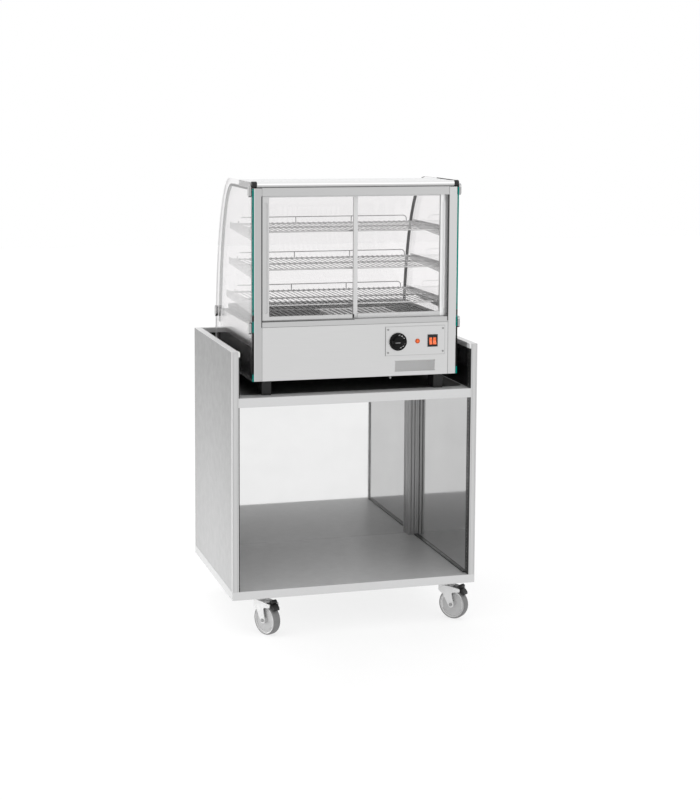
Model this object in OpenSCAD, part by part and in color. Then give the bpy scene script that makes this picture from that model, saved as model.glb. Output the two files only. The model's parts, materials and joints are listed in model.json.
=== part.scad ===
// Mobile serving counter with a heated glass display standing in its recess.
// The service side, with the sliding doors and the controls, faces -Y.
// The origin is on the floor under the middle of the counter, with +Z up.

/* [Counter] */
// Width across the two side panels
counter_w = 820; // [800:1:900]
// Depth from the service side to the customer side
counter_d = 608; // [600:1:680]
// Thickness of the base board
deck_t = 27; // [22:1:35]
// Thickness of a side panel
side_t = 21; // [16:1:28]
// Thickness of the customer panel
customer_t = 20; // [16:1:26]
// Clear height of the storage bay
bay_h = 595; // [500:1:680]
// Thickness of the upper shelf
shelf_t = 30; // [22:1:38]
// Height of the side panels above the upper shelf
recess_h = 147; // [110:1:180]
// Thickness of the sheet linings
lining_t = 2; // [1.5:0.5:3]
// Distance of the bay's mirror lining in front of the customer panel
lining_standoff = 20; // [12:1:30]
// Side of the slotted corner posts
corner_post = 30; // [24:1:36]
// Depth of the profiles on the side panels' front edges
edge_depth = 12; // [8:1:18]
// Depth of the black strips inside the front edges
strip_depth = 28; // [20:1:36]
// Height of the light profile along the recess rim
rim_h = 16; // [10:1:24]
// Width of the black rails on the base board
rail_w = 10; // [6:1:16]

/* [Casters] */
// Height of a caster from the floor to the base board
caster_h = 130; // [129:1:145]
// Wheel diameter
wheel_d = 100; // [94:1:102]
// Wheel width
wheel_w = 29; // [26:1:34]
// Distance from the swivel axis to the wheel axle
trail = 35; // [32:1:38]
// Distance between the left and right swivel axes
caster_pitch = 634; // [560:1:650]
// How far the casters stand to the right of the middle
caster_shift = 14; // [0:1:16]
// Distance of the swivel axes from the panel faces
caster_inset = 70; // [65:1:90]
// Directions in which the four wheels trail, from +X
trail_angles = [-62, -49, 65, 42];
// Length of a caster's top plate
plate_l = 105; // [98:1:112]
// Width of a caster's top plate
plate_w = 85; // [80:1:92]
// Thickness of a caster's top plate
plate_t = 3; // [2.5:0.5:4]
// Diameter of the axle bolts
axle_d = 8; // [6:1:14]
// Diameter of the king pins
kingpin_d = 10; // [8:1:12]
// Width of a brake pedal
pedal_w = 24; // [18:1:28]

/* [Display] */
// Width across the outer faces of the side glasses
display_w = 686; // [660:1:700]
// Distance of the display behind the counter's front edge
display_setback = 10; // [6:1:20]
// Height of the display's feet
foot_h = 50; // [40:1:60]
// Height of the heater housing
housing_h = 171.5; // [160:0.5:190]
// Distance of the heater housing in front of the customer panel
housing_gap = 55; // [45:0.5:100]
// Clear height of the door opening above the sill
door_opening_h = 396.5; // [380:0.5:440]
// Height of the sill that carries the door tracks
sill_h = 17.5; // [16:0.5:24]
// Height of the header over the doors
header_h = 26.5; // [24:0.5:36]
// Width of a door post
post_w = 26; // [22:1:32]
// Depth of a door post
post_d = 40; // [38:1:48]
// Depth of the door channel in a post
channel_d = 6; // [5:0.5:9]
// Sheet thickness of the steel panels
sheet_t = 1.5; // [1:0.25:2.5]
// Diameter of the tube along the roof's service edge
roof_tube_d = 19; // [15:1:22]
// Depth of the steel part of the roof
roof_d = 195; // [130:1:200]
// Height of the roof panel
roof_h = 20; // [16:1:24]
// Width of a foot
foot_w = 32; // [24:1:44]
// Depth of a foot
foot_l = 60; // [30:1:80]
// Distance of the feet's centres from the housing's sides
foot_inset = 45; // [30:1:70]
// Distance of the feet from the display's front and from the housing's rear
foot_setback = 32; // [10:1:60]

/* [Glass] */
// Thickness of the side glasses
side_glass_t = 6; // [4:0.5:8]
// Thickness of the curved glass
curved_glass_t = 5; // [4:0.5:6]
// Thickness of the door glasses
door_glass_t = 4; // [3:0.5:5]
// Horizontal half axis of the side glasses' rounded edge
round_y = 235; // [225:1:240]
// Vertical half axis of the side glasses' rounded edge
round_z = 601; // [560:1:620]
// Distance of the curved glass inside the side glasses' edge, at the side
curve_inset_y = 30; // [26:1:44]
// Distance of the curved glass inside the side glasses' edge, at the top
curve_inset_z = 20; // [18:1:26]
// Width of the seals along the curved glass
seal_w = 9; // [5:1:12]
// Drop of the upper clips below the roof tube
clip_drop = 20; // [20:1:40]
// Height of the curved glass's lower edge above the housing's bottom
curve_foot = 125; // [110:1:140]

/* [Doors] */
// Width of a door panel
door_w = 306; // [290:1:312]
// Thickness of a door frame
door_t = 12; // [10:0.5:12]
// Gap between the two doors
door_gap = 2; // [1:0.5:4]
// Width of a door's stile
stile_w = 27; // [22:1:36]
// Height of a door's bottom rail
door_rail_h = 11.5; // [10:0.5:20]
// Height of the front door's bottom rail above the sill
door_lift = 4; // [2:0.5:6]
// Height of the rear door's bottom rail above the sill
rear_lift = 1; // [1:0.5:4]
// Height of the top rail that runs in the header
tongue_h = 12; // [8:1:16]
// Width of the strip on the rear door's free edge
meeting_w = 14; // [8:1:18]
// Width of a finger pull
pull_w = 9; // [7:1:14]
// Length of a finger pull
pull_l = 350; // [200:1:360]
// Depth of a finger pull
pull_depth = 3; // [2:0.25:3]
// Distance of a finger pull from its stile's centre line, towards the pane
pull_shift = 3; // [0:0.5:5]
// Clearance of a part that slides in its track
slide_fit = 0.3; // [0.2:0.05:0.5]

/* [Shelves] */
// Height of the lowest wire shelf above the sill
low_level = 45; // [40:1:60]
// Height of the middle wire shelf above the sill
middle_level = 160.5; // [150:0.5:190]
// Height of the highest wire shelf above the sill
high_level = 281; // [270:1:310]
// Distance of the lowest shelf's far end in front of the curved glass
low_gap = 48; // [20:1:80]
// Distance of the middle shelf's far end in front of the curved glass
middle_gap = 67; // [20:1:90]
// Distance of the highest shelf's far end in front of the curved glass
high_gap = 47; // [20:1:80]
// Pitch of the wires
wire_pitch = 18; // [14:1:30]
// Thickness of the cross wires
wire_d = 3; // [2:0.5:4]
// Thickness of the bearer wires
bearer_d = 5.6; // [3.6:0.1:6]
// Height of the guard rails above the bearers
guard_h = 22; // [16:1:30]
// Distance of a guard rail's ends from the shelf's ends
guard_inset = 25; // [10:1:60]
// Distance between a guard rail's two middle legs
guard_leg_pitch = 196; // [120:1:300]
// Height of a bracket at the door post
bracket_h = 41; // [30:1:50]
// Height of a bracket at its free end
bracket_end_h = 22; // [18:1:28]
// Pitch of the slots in the floor grille
grille_pitch = 20; // [16:1:30]
// Width of the slots in the floor grille
grille_slot = 13; // [6:1:13]

/* [Controls] */
// Width of the control plate
control_w = 203; // [198:1:220]
// Height of the control plate
control_h = 95; // [80:1:110]
// Distance of the control plate from the right-hand door post
control_inset = 11; // [6:1:20]
// Distance of the control plate below the sill
control_drop = 10.5; // [2:0.5:16]
// Diameter of the thermostat knob
knob_d = 58; // [48:1:66]
// Depth of the thermostat knob
knob_depth = 18; // [12:1:24]
// Diameter of the thermostat shaft
shaft_d = 6; // [5:0.5:7]
// Diameter of the pilot lamp
lamp_d = 16; // [12:1:20]
// Width of the switch frame
switch_w = 34; // [30:1:38]
// Height of the switch frame
switch_h = 40; // [36:1:46]
// Tilt of a rocker to each side
rocker_tilt = 8; // [5:1:9]
// Number of vent holes in a row
vent_columns = 18; // [12:1:19]
// Number of rows of vent holes
vent_rows = 7; // [5:1:8]
// Diameter of a vent hole
vent_hole_d = 5; // [3:0.1:5.4]

/* [Hidden] */
$fn = 64;

// Counter levels
y_front = -counter_d / 2;
y_back = counter_d / 2;
x_in = counter_w / 2 - side_t;
x_lined = x_in - lining_t;
deck_z0 = caster_h;
deck_z1 = deck_z0 + deck_t;
shelf_z0 = deck_z1 + bay_h;
shelf_z1 = shelf_z0 + shelf_t;
rim_z = shelf_z1 + recess_h;
y_customer = y_back - customer_t;
y_mirror = y_customer - lining_standoff;
strip_t = 3;
rail_h = 4;
line_groove = 1;

// Caster levels, from the floor
race_gap = 0.5;
race_h = 8;
head_h = 7.5;
fork_t = 3;
crown_z1 = caster_h - plate_t - race_h - race_gap - head_h;
crown_z0 = crown_z1 - fork_t;
leg_in = wheel_w / 2 + 3.5;
leg_out = leg_in + fork_t;
race_r = leg_out - 3;
wheel_r = wheel_d / 2;
rim_r = wheel_r - 4.5;
pedal_x = trail + 25;
pedal_z = crown_z0 - 5;
pedal_pin_d = 6;
run_fit = 0.05;
bolt_dx = plate_l / 2 - 12.5;
bolt_dy = plate_w / 2 - 12.5;
bolt_d = 8;
bolt_head = 5.3;
bolt_fit = 0.1;
bolt_depth = 15;
caster_x = caster_pitch / 2;
caster_y = counter_d / 2 - caster_inset;
caster_at = [[-caster_x + caster_shift, -caster_y], [caster_x + caster_shift, -caster_y],
    [-caster_x + caster_shift, caster_y], [caster_x + caster_shift, caster_y]];

// Display levels
display_y = y_front + display_setback;
post_y1 = display_y + post_d;
housing_y1 = y_customer - housing_gap;
glass_in = display_w / 2 - side_glass_t;
open_x = glass_in - post_w;
display_z0 = shelf_z1 + foot_h;
housing_z1 = display_z0 + housing_h;
sill_z1 = housing_z1 + sill_h;
header_z0 = sill_z1 + door_opening_h;
header_z1 = header_z0 + header_h;
tube_r = roof_tube_d / 2;
tube_y = display_y + tube_r;
tube_z = header_z1 + tube_r;
cap_r = tube_r + 1;
clear = 0.3;
roof_y0 = tube_y + cap_r + clear;
post_z1 = tube_z - cap_r - clear;
roof_y1 = roof_y0 + roof_d;
roof_z1 = tube_z + tube_r - 2;
roof_z0 = roof_z1 - roof_h;
side_top = roof_z1;
round_cz = side_top - round_z;
curve_y = round_y - curve_inset_y;
curve_z = round_z - curve_inset_z;
seal_proud = 1.5;
seal_in = curved_glass_t + seal_proud;
round_cy = housing_y1 + clear - (curve_y - seal_in) * cos(start_angle(curve_z - seal_in, housing_h));
face_t = 1;
roof_lap = 8;
housing_side = glass_in - 3;
gland_r = 9;
gland_x = -housing_side + 90;
ledge_t = 4;
gland_hex_r = gland_r + 3;
gland_z = display_z0 + curve_foot - ledge_t - gland_hex_r - 2;
cord_hole_r = 4;

// Door levels
track_y = [display_y + 4, display_y + 4 + door_t + 2];
door_z0 = sill_z1 + door_lift;
door_x1 = open_x + channel_d - 3;
door_z1 = header_z0 + tongue_h;
guide_t = 3;
guide_h = 9;
pull_z = sill_z1 + 26;
front_door_free = -door_x1 + door_w;
rear_door_free = front_door_free + door_gap;
rear_door_x0 = door_x1 - door_w;

// Controls
control_x1 = open_x - control_inset;
control_x0 = control_x1 - control_w;
control_z1 = housing_z1 - control_drop;
control_z0 = control_z1 - control_h;
control_low = 2;
control_z = (control_z0 + control_z1) / 2 - control_low;
fascia_y = display_y + face_t;
control_y = fascia_y - sheet_t;
knob_x = control_x0 + 42.5;
lamp_x = control_x0 + 109;
switch_x = control_x1 - 42.5;
knob_gap = 0.5;
bush_d = shaft_d + 4;
vent_pitch = 7.7;
vent_row_pitch = 5.1;
vent_x = (control_x0 + control_x1) / 2;
vent_z = display_z0 + 31;
rocker_w = (switch_w - 12) / 2;
rocker_h = switch_h - 12;
rocker_depth = 9;
rocker_x = rocker_w / 2 + 1.4;
rocker_pivot = control_y + 4;

// A box given by its two corners
module span(a, b) {
    translate(a)
        cube(b - a);
}

// A piece and its mirror image on the other side of the middle
module pair() {
    children();
    mirror([1, 0, 0])
        children();
}

// A cylinder along X
module rod_x(x0, x1, r, y, z) {
    translate([x0, y, z])
        rotate([0, 90, 0])
            cylinder(r = r, h = x1 - x0);
}

// A cylinder along Y
module rod_y(y0, y1, r, x, z) {
    translate([x, y0, z])
        rotate([-90, 0, 0])
            cylinder(r = r, h = y1 - y0);
}

// A shape in the Y-Z plane, extruded from x0 to x1
module profile_x(x0, x1) {
    translate([x0, 0, 0])
        rotate([90, 0, 90])
            linear_extrude(x1 - x0)
                children();
}

// A shape in the X-Z plane, extruded from y0 to y1
module profile_y(y0, y1) {
    translate([0, y1, 0])
        rotate([90, 0, 0])
            linear_extrude(y1 - y0)
                children();
}

// Counter

module base_deck() {
    color("gainsboro")
        difference() {
            span([-counter_w / 2, y_front, deck_z0], [counter_w / 2, y_back, deck_z1]);
            for (i = [0:3])
                translate(caster_at[i])
                    bolt_places()
                        translate([0, 0, deck_z0 - 1])
                            cylinder(d = bolt_d + 2 * bolt_fit, h = bolt_depth + 2);
        }
}

module side_panel() {
    span([x_in, y_front + edge_depth, deck_z1], [counter_w / 2, y_back, rim_z]);
}

module side_panel_right() {
    color("lightgray")
        side_panel();
}

module side_panel_left() {
    color("lightgray")
        mirror([1, 0, 0])
            side_panel();
}

module customer_panel() {
    color("lightgray")
        span([-x_in, y_customer, deck_z1], [x_in, y_back, rim_z]);
}

module upper_shelf() {
    color("gainsboro")
        span([-x_in, y_front, shelf_z0], [x_in, y_customer, shelf_z1]);
}

// Front edge profiles with two fine grooves along their length
module edge_profiles() {
    color("silver")
        pair()
            translate([0, 0, deck_z1])
                linear_extrude(rim_z - deck_z1)
                    difference() {
                        translate([x_in, y_front])
                            square([side_t, edge_depth]);
                        for (share = [0.22, 0.78])
                            translate([x_in + share * side_t - line_groove / 2, y_front - 1])
                                square([line_groove, 1 + line_groove]);
                    }
}

// Polished linings of the storage bay: two sheets and a folded tray in front of the customer panel
module bay_linings() {
    color("whitesmoke") {
        pair()
            span([x_lined, y_front + strip_depth, deck_z1 + rail_h], [x_in, y_mirror, shelf_z0]);
        difference() {
            span([-x_in, y_mirror, deck_z1], [x_in, y_customer, shelf_z0]);
            span([-x_lined, y_mirror + lining_t, deck_z1 - 1], [x_lined, y_customer + 1, shelf_z0 + 1]);
        }
    }
}

// Black gloss linings of the recess
module recess_linings() {
    color("black") {
        pair()
            span([x_lined, y_front + strip_depth, shelf_z1], [x_in, y_customer, rim_z - rim_h]);
        span([-x_lined, y_customer - lining_t, shelf_z1], [x_lined, y_customer, rim_z - rim_h]);
    }
}

// Slotted posts in the bay's two far corners
module corner_posts() {
    slot_w = corner_post * 0.12;
    slot_d = corner_post * 0.2;
    color("darkgray")
        pair()
            translate([x_lined - corner_post, y_mirror - corner_post, deck_z1])
                linear_extrude(bay_h)
                    difference() {
                        square(corner_post);
                        for (share = [0.3, 0.7]) {
                            translate([share * corner_post - slot_w / 2, -1])
                                square([slot_w, slot_d + 1]);
                            translate([-1, share * corner_post - slot_w / 2])
                                square([slot_d + 1, slot_w]);
                        }
                    }
}

// Light profiles along the top of the recess, inside the panels
module rim_profiles() {
    color("gainsboro") {
        pair()
            span([x_in - strip_t, y_front + strip_depth + 4, rim_z - rim_h], [x_in, y_customer, rim_z]);
        span([-x_in + strip_t, y_customer - strip_t, rim_z - rim_h],
            [x_in - strip_t, y_customer, rim_z]);
    }
}

module rim_end_caps() {
    color("white")
        pair()
            span([x_in - strip_t - 2, y_front + 2, rim_z - rim_h], [x_in, y_front + strip_depth + 4, rim_z]);
}

// Black strips inside the front edges, and black rails on the base board
module trim_strips() {
    color("dimgray")
        pair() {
            span([x_in - strip_t, y_front + 1, deck_z1], [x_in, y_front + strip_depth, shelf_z0]);
            span([x_in - strip_t, y_front + 1, shelf_z1], [x_in, y_front + strip_depth, rim_z - rim_h]);
            span([x_in - rail_w, y_front + strip_depth, deck_z1],
                [x_in, y_mirror - corner_post, deck_z1 + rail_h]);
        }
}

// Casters, drawn with the swivel axis at the origin and the wheel trailing towards +X

module at_caster(i) {
    translate(caster_at[i])
        rotate([0, 0, trail_angles[i]])
            children();
}

module bolt_places() {
    for (x = [-bolt_dx, bolt_dx], y = [-bolt_dy, bolt_dy])
        translate([x, y, 0])
            children();
}

// Top plate with the upper race and the riveted king pin
module caster_plate() {
    difference() {
        union() {
            translate([-plate_l / 2, -plate_w / 2, caster_h - plate_t])
                cube([plate_l, plate_w, plate_t]);
            translate([0, 0, caster_h - plate_t - race_h])
                cylinder(r = race_r, h = race_h);
            translate([0, 0, crown_z0 - race_gap - 4])
                cylinder(d = kingpin_d, h = caster_h - crown_z0);
            translate([0, 0, crown_z0 - race_gap - 4])
                cylinder(d = kingpin_d + 7, h = 4);
        }
        bolt_places()
            translate([0, 0, caster_h - plate_t - 1])
                cylinder(d = bolt_d + 2 * bolt_fit, h = plate_t + 2);
    }
}

module caster_plates() {
    color("silver")
        for (i = [0:3])
            translate(caster_at[i])
                caster_plate();
}

module caster_bolts() {
    color("silver")
        for (i = [0:3])
            translate(caster_at[i])
                bolt_places()
                    translate([0, 0, caster_h - plate_t]) {
                        translate([0, 0, -bolt_head])
                            cylinder(d = bolt_d * 1.8, h = bolt_head, $fn = 6);
                        cylinder(d = bolt_d, h = plate_t + bolt_depth);
                    }
}

// Side view of the fork: it narrows to the axle and has an arm for the pedal
module leg_outline(braked) {
    front = -leg_out - 4;
    arm = braked ? pedal_x + 6 : trail + 9;
    difference() {
        union() {
            polygon([[front, crown_z1], [front, wheel_r + 46], [trail - 31.5, wheel_r + 34],
                [trail - 8.6, wheel_r - 5], [trail + 9.6, wheel_r + 3], [trail + 2.5, wheel_r + 34],
                [trail + 3.5, wheel_r + 39], [trail + 7, wheel_r + 42], [arm, crown_z0 - 12],
                [arm + 2, crown_z0 - 8], [arm, crown_z0 - 1], [trail - 3, crown_z1]]);
            translate([trail, wheel_r])
                circle(r = 10);
        }
        translate([trail, wheel_r])
            circle(d = axle_d);
        if (braked)
            translate([pedal_x, pedal_z])
                circle(d = pedal_pin_d);
    }
}

// Plan of the fork's outer or inner face: two legs joined by a round front
module fork_plan(r, x1) {
    circle(r = r);
    translate([0, -r])
        square([x1, 2 * r]);
}

module fork(braked) {
    nut = 3.5;
    reach = pedal_x + 10;
    color("whitesmoke") {
        difference() {
            union() {
                intersection() {
                    linear_extrude(crown_z1)
                        difference() {
                            fork_plan(leg_out, reach);
                            fork_plan(leg_in, reach + 1);
                        }
                    profile_y(-leg_out - 1, leg_out + 1)
                        leg_outline(braked);
                }
                translate([0, 0, crown_z0])
                    linear_extrude(crown_z1 - crown_z0)
                        fork_plan(leg_out, trail - 3);
                rotate_extrude()
                    polygon([[0, crown_z0], [race_r + 2, crown_z0], [race_r + 2, crown_z1 + 4],
                        [race_r - 2, crown_z1 + head_h], [0, crown_z1 + head_h]]);
            }
            translate([0, 0, crown_z0 - 1])
                cylinder(d = kingpin_d + 2 * run_fit, h = head_h + fork_t + 2);
        }
        rod_y(-leg_out, leg_out, axle_d / 2, trail, wheel_r);
        for (side = [-1, 1])
            translate([trail, side > 0 ? leg_out + nut : -leg_out, wheel_r])
                rotate([90, 0, 0])
                    cylinder(d = axle_d + 4, h = nut, $fn = 6);
        if (braked)
            rod_y(-leg_out, leg_out, pedal_pin_d / 2, pedal_x, pedal_z);
    }
}

module fork_front_left() {
    at_caster(0)
        fork(true);
}

module fork_front_right() {
    at_caster(1)
        fork(true);
}

module fork_rear_left() {
    at_caster(2)
        fork(false);
}

module fork_rear_right() {
    at_caster(3)
        fork(false);
}

// Turns a wheel profile, given as radius and offset along the axle
module wheel_turned() {
    translate([trail, 0, wheel_r])
        rotate([90, 0, 0])
            rotate_extrude($fn = 96)
                children();
}

module tyre() {
    w = wheel_w / 2;
    color("dimgray")
        wheel_turned()
            polygon([[rim_r, 1 - w], [wheel_r - 3.5, -w], [wheel_r - 2, 1.5 - w], [wheel_r - 0.5, 5 - w],
                [wheel_r, 8 - w], [wheel_r, w - 8], [wheel_r - 0.5, w - 5], [wheel_r - 2, w - 1.5],
                [wheel_r - 3.5, w], [rim_r, w - 1]]);
}

module hub() {
    w = wheel_w / 2;
    boss = leg_in - 0.4;
    r = rim_r;
    color("lightslategray")
        wheel_turned()
            polygon([[axle_d / 2 + run_fit, -boss], [axle_d / 2 + 5, -boss], [axle_d / 2 + 7, 4 - w],
                [r - 9, 3.5 - w], [r - 7.5, 5.5 - w], [r - 4, 5.5 - w], [r - 3, 1 - w], [r, 1 - w],
                [r, w - 1], [r - 3, w - 1], [r - 4, w - 5.5], [r - 7.5, w - 5.5], [r - 9, w - 3.5],
                [axle_d / 2 + 7, w - 4], [axle_d / 2 + 5, boss], [axle_d / 2 + run_fit, boss]]);
}

module tyre_front_left() {
    at_caster(0)
        tyre();
}

module tyre_front_right() {
    at_caster(1)
        tyre();
}

module tyre_rear_left() {
    at_caster(2)
        tyre();
}

module tyre_rear_right() {
    at_caster(3)
        tyre();
}

module hub_front_left() {
    at_caster(0)
        hub();
}

module hub_front_right() {
    at_caster(1)
        hub();
}

module hub_rear_left() {
    at_caster(2)
        hub();
}

module hub_rear_right() {
    at_caster(3)
        hub();
}

// Brake pedal: a lower tread and an upper release tab on one hub
module pedal() {
    color("black")
        difference() {
            translate([pedal_x, 0, pedal_z]) {
                profile_y(-pedal_w / 2, pedal_w / 2) {
                    circle(r = 5.5);
                    polygon([[-5, -2.5], [2, -5.5], [9.5, -9.5], [17, -17.5], [21, -16], [20, -8],
                        [14, -1], [4, 3.6]]);
                }
                profile_y(-pedal_w * 0.42, pedal_w * 0.42)
                    polygon([[-4, 3], [4, 2], [9, 5], [12, 9], [11, 13], [6, 16.5], [0, 15], [-4, 9]]);
            }
            rod_y(-pedal_w, pedal_w, pedal_pin_d / 2 + run_fit, pedal_x, pedal_z);
        }
}

module pedal_front_left() {
    at_caster(0)
        pedal();
}

module pedal_front_right() {
    at_caster(1)
        pedal();
}

// Display housing and controls

module display_housing() {
    color("silver") {
        difference() {
            span([-housing_side, post_y1, display_z0], [housing_side, housing_y1, housing_z1]);
            span([-housing_side + sheet_t, post_y1 + sheet_t, display_z0 + sheet_t],
                [housing_side - sheet_t, housing_y1 - sheet_t, housing_z1 - sheet_t]);
            span([-housing_side + 30, post_y1 + 20, housing_z1 - 2 * sheet_t],
                [housing_side - 30, housing_y1 - 30, housing_z1 + 1]);
            rod_y(housing_y1 - sheet_t - 1, housing_y1 + 1, gland_r + 0.1, gland_x, gland_z);
        }
        span([-glass_in + seal_w, housing_y1, display_z0 + curve_foot - ledge_t],
            [glass_in - seal_w, curve_outer(curve_foot) + 1, display_z0 + curve_foot]);
    }
}

// Front sheet between the door posts, folded back along its lower edge
module fascia_panel() {
    color("silver")
        difference() {
            union() {
                profile_y(fascia_y, fascia_y + sheet_t)
                    difference() {
                        translate([-open_x, display_z0])
                            square([2 * open_x, housing_h]);
                        vent_pattern();
                    }
                span([-open_x, fascia_y, display_z0], [open_x, post_y1, display_z0 + sheet_t]);
            }
            control_cutouts();
        }
}

// Staggered vent holes below the control plate
module vent_pattern() {
    for (row = [0:vent_rows - 1], i = [0:vent_columns - 1 - row % 2])
        translate([vent_x + (i - (vent_columns - 1 - row % 2) / 2) * vent_pitch,
            vent_z + (row - (vent_rows - 1) / 2) * vent_row_pitch])
            circle(d = vent_hole_d, $fn = 8);
}

// What the control plate and the fascia leave open for the shaft, the lamp and the switch
module control_cutouts() {
    y0 = control_y - 1;
    y1 = fascia_y + sheet_t + 1;
    rod_y(y0, y1, bush_d / 2 + 0.1, knob_x, control_z);
    rod_y(y0, y1, lamp_d / 2 - 1.4, lamp_x, control_z);
    span([switch_x - switch_w / 2 + 3, y0, control_z - switch_h / 2 + 3],
        [switch_x + switch_w / 2 - 3, y1, control_z + switch_h / 2 - 3]);
    for (x = [control_x0 + 9, control_x1 - 7], z = [control_z0 + 10, control_z1 - 10])
        rod_y(y0, y1, 1.6, x, z);
}

module control_plate() {
    color("gainsboro")
        difference() {
            span([control_x0, control_y, control_z0], [control_x1, fascia_y, control_z1]);
            control_cutouts();
        }
}

module control_screws() {
    color("gray")
        for (x = [control_x0 + 9, control_x1 - 7], z = [control_z0 + 10, control_z1 - 10])
            difference() {
                union() {
                    rod_y(control_y - 1.6, control_y, 3.2, x, z);
                    rod_y(control_y - 0.5, fascia_y + sheet_t + 5, 1.5, x, z);
                }
                span([x - 2.4, control_y - 2, z - 0.4], [x + 2.4, control_y - 0.9, z + 0.4]);
            }
}

// Thermostat behind the fascia, with the bush that guides the shaft
module thermostat() {
    color("dimgray")
        difference() {
            union() {
                rod_y(control_y, fascia_y + sheet_t + 1, bush_d / 2, knob_x, control_z);
                span([knob_x - 18, fascia_y + sheet_t, control_z - 20],
                    [knob_x + 18, fascia_y + sheet_t + 28, control_z + 20]);
            }
            rod_y(control_y - 1, fascia_y + 16, shaft_d / 2 + run_fit, knob_x, control_z);
        }
}

// Knob with its dial skirt, its grip bar and the shaft
module thermostat_knob() {
    skirt = knob_depth * 0.22;
    back = control_y - knob_gap;
    front = back - knob_depth;
    color("black") {
        rod_y(back - skirt, back, knob_d / 2, knob_x, control_z);
        rod_y(front + 5, back - skirt + 0.1, knob_d * 0.3, knob_x, control_z);
        rod_y(back - 0.1, fascia_y + 15, shaft_d / 2, knob_x, control_z);
        span([knob_x - knob_d * 0.42, front, control_z - 5], [knob_x + knob_d * 0.42, back - skirt + 0.1, control_z + 5]);
    }
}

module pilot_lamp() {
    color("orangered") {
        rod_y(control_y - 1.5, control_y, lamp_d / 2, lamp_x, control_z);
        rod_y(control_y - 3.5, control_y - 1.4, lamp_d / 2 - 2.5, lamp_x, control_z);
        rod_y(control_y - 0.1, fascia_y + sheet_t + 14, lamp_d / 2 - 1.5, lamp_x, control_z);
    }
}

// Switch housing with one pocket for each rocker
module rocker_frame() {
    back = fascia_y + sheet_t + 12;
    color("black")
        difference() {
            union() {
                span([switch_x - switch_w / 2, control_y - 2, control_z - switch_h / 2],
                    [switch_x + switch_w / 2, control_y, control_z + switch_h / 2]);
                span([switch_x - switch_w / 2 + 3.1, control_y - 1, control_z - switch_h / 2 + 3.1],
                    [switch_x + switch_w / 2 - 3.1, back, control_z + switch_h / 2 - 3.1]);
            }
            for (side = [-1, 1])
                translate([switch_x + side * rocker_x, 0, control_z]) {
                    span([-rocker_w / 2 - 0.3, control_y - 3, -rocker_h / 2 - 0.8],
                        [rocker_w / 2 + 0.3, back - 2, rocker_h / 2 + 0.8]);
                    rod_x(-rocker_w / 2 - 1.1, rocker_w / 2 + 1.1, 1.5 + run_fit, rocker_pivot, 0);
                }
        }
}

// A rocker with its two pivot studs, lying on its lit side
module rocker(side) {
    color("orange")
        translate([switch_x + side * rocker_x, rocker_pivot, control_z])
            rotate([-rocker_tilt, 0, 0]) {
                profile_x(-rocker_w / 2, rocker_w / 2)
                    polygon([[-5.5, -rocker_h / 2 + 0.6], [-3.5, -rocker_h * 0.1], [-3.5, rocker_h * 0.1],
                        [-5.5, rocker_h / 2 - 0.6], [rocker_depth - 5.5, rocker_h / 2 - 3],
                        [rocker_depth - 5.5, 3 - rocker_h / 2]]);
                rod_x(-rocker_w / 2 - 0.9, rocker_w / 2 + 0.9, 1.5, 0, 0);
            }
}

module rocker_left() {
    rocker(-1);
}

module rocker_right() {
    rocker(1);
}

module display_feet() {
    x = housing_side - foot_inset;
    color("black")
        pair()
            for (y = [display_y + foot_setback, housing_y1 - foot_setback - foot_l])
                span([x - foot_w / 2, y, shelf_z1], [x + foot_w / 2, y + foot_l, display_z0]);
}

module bonding_screw() {
    x = control_x0 + 24;
    y = fascia_y + 22;
    color("silver")
        translate([x, y, display_z0]) {
            translate([0, 0, -12])
                cylinder(d = 5, h = 12);
            translate([0, 0, -1.5])
                cylinder(d = 14, h = 1.5);
            translate([0, 0, -10])
                cylinder(d = 10, h = 4, $fn = 6);
        }
}

// Cord inlet on the customer side of the housing
module cable_gland() {
    color("dimgray")
        difference() {
            union() {
                rod_y(housing_y1 - 8, housing_y1 + 18, gland_r, gland_x, gland_z);
                for (y = [housing_y1 - sheet_t, housing_y1 + 6])
                    translate([gland_x, y, gland_z])
                        rotate([90, 0, 0])
                            cylinder(r = gland_hex_r, h = 6, $fn = 6);
            }
            rod_y(housing_y1 - 9, housing_y1 + 19, cord_hole_r, gland_x, gland_z);
        }
}

// Display frame

module door_posts() {
    color("silver")
        pair()
            difference() {
                span([open_x, display_y, display_z0], [glass_in, post_y1, post_z1]);
                span([open_x - 1, display_y + 3, sill_z1 - guide_h], [open_x + channel_d,
                    track_y[1] + door_t + 1, door_z1 + 2]);
            }
}

// Sill with one guide groove for each door
module sill_track() {
    color("silver")
        difference() {
            span([-open_x, fascia_y, housing_z1], [open_x, post_y1, sill_z1]);
            for (y = track_y)
                span([-open_x - 1, y + (door_t - guide_t) / 2 - slide_fit, sill_z1 - guide_h],
                    [open_x + 1, y + (door_t + guide_t) / 2 + slide_fit, sill_z1 + 1]);
        }
}

// Header with one deep groove for the top rail of each door
module header_rail() {
    color("silver")
        difference() {
            span([-open_x, fascia_y, header_z0], [open_x, post_y1, header_z1]);
            for (y = track_y)
                span([-open_x - 1, y + 2 - slide_fit, header_z0 - 1],
                    [open_x + 1, y + door_t - 2 + slide_fit, door_z1 + slide_fit]);
        }
}

module roof_tube() {
    color("white")
        difference() {
            rod_x(-glass_in + 10, glass_in - 10, tube_r, tube_y, tube_z);
            rod_x(-glass_in + 9, glass_in - 9, tube_r - sheet_t, tube_y, tube_z);
        }
}

module roof_end_caps() {
    color("black")
        pair() {
            rod_x(glass_in - 10, display_w / 2, cap_r, tube_y, tube_z);
            rod_x(glass_in - 22, glass_in - 9, tube_r - sheet_t - 0.1, tube_y, tube_z);
        }
}

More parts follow.
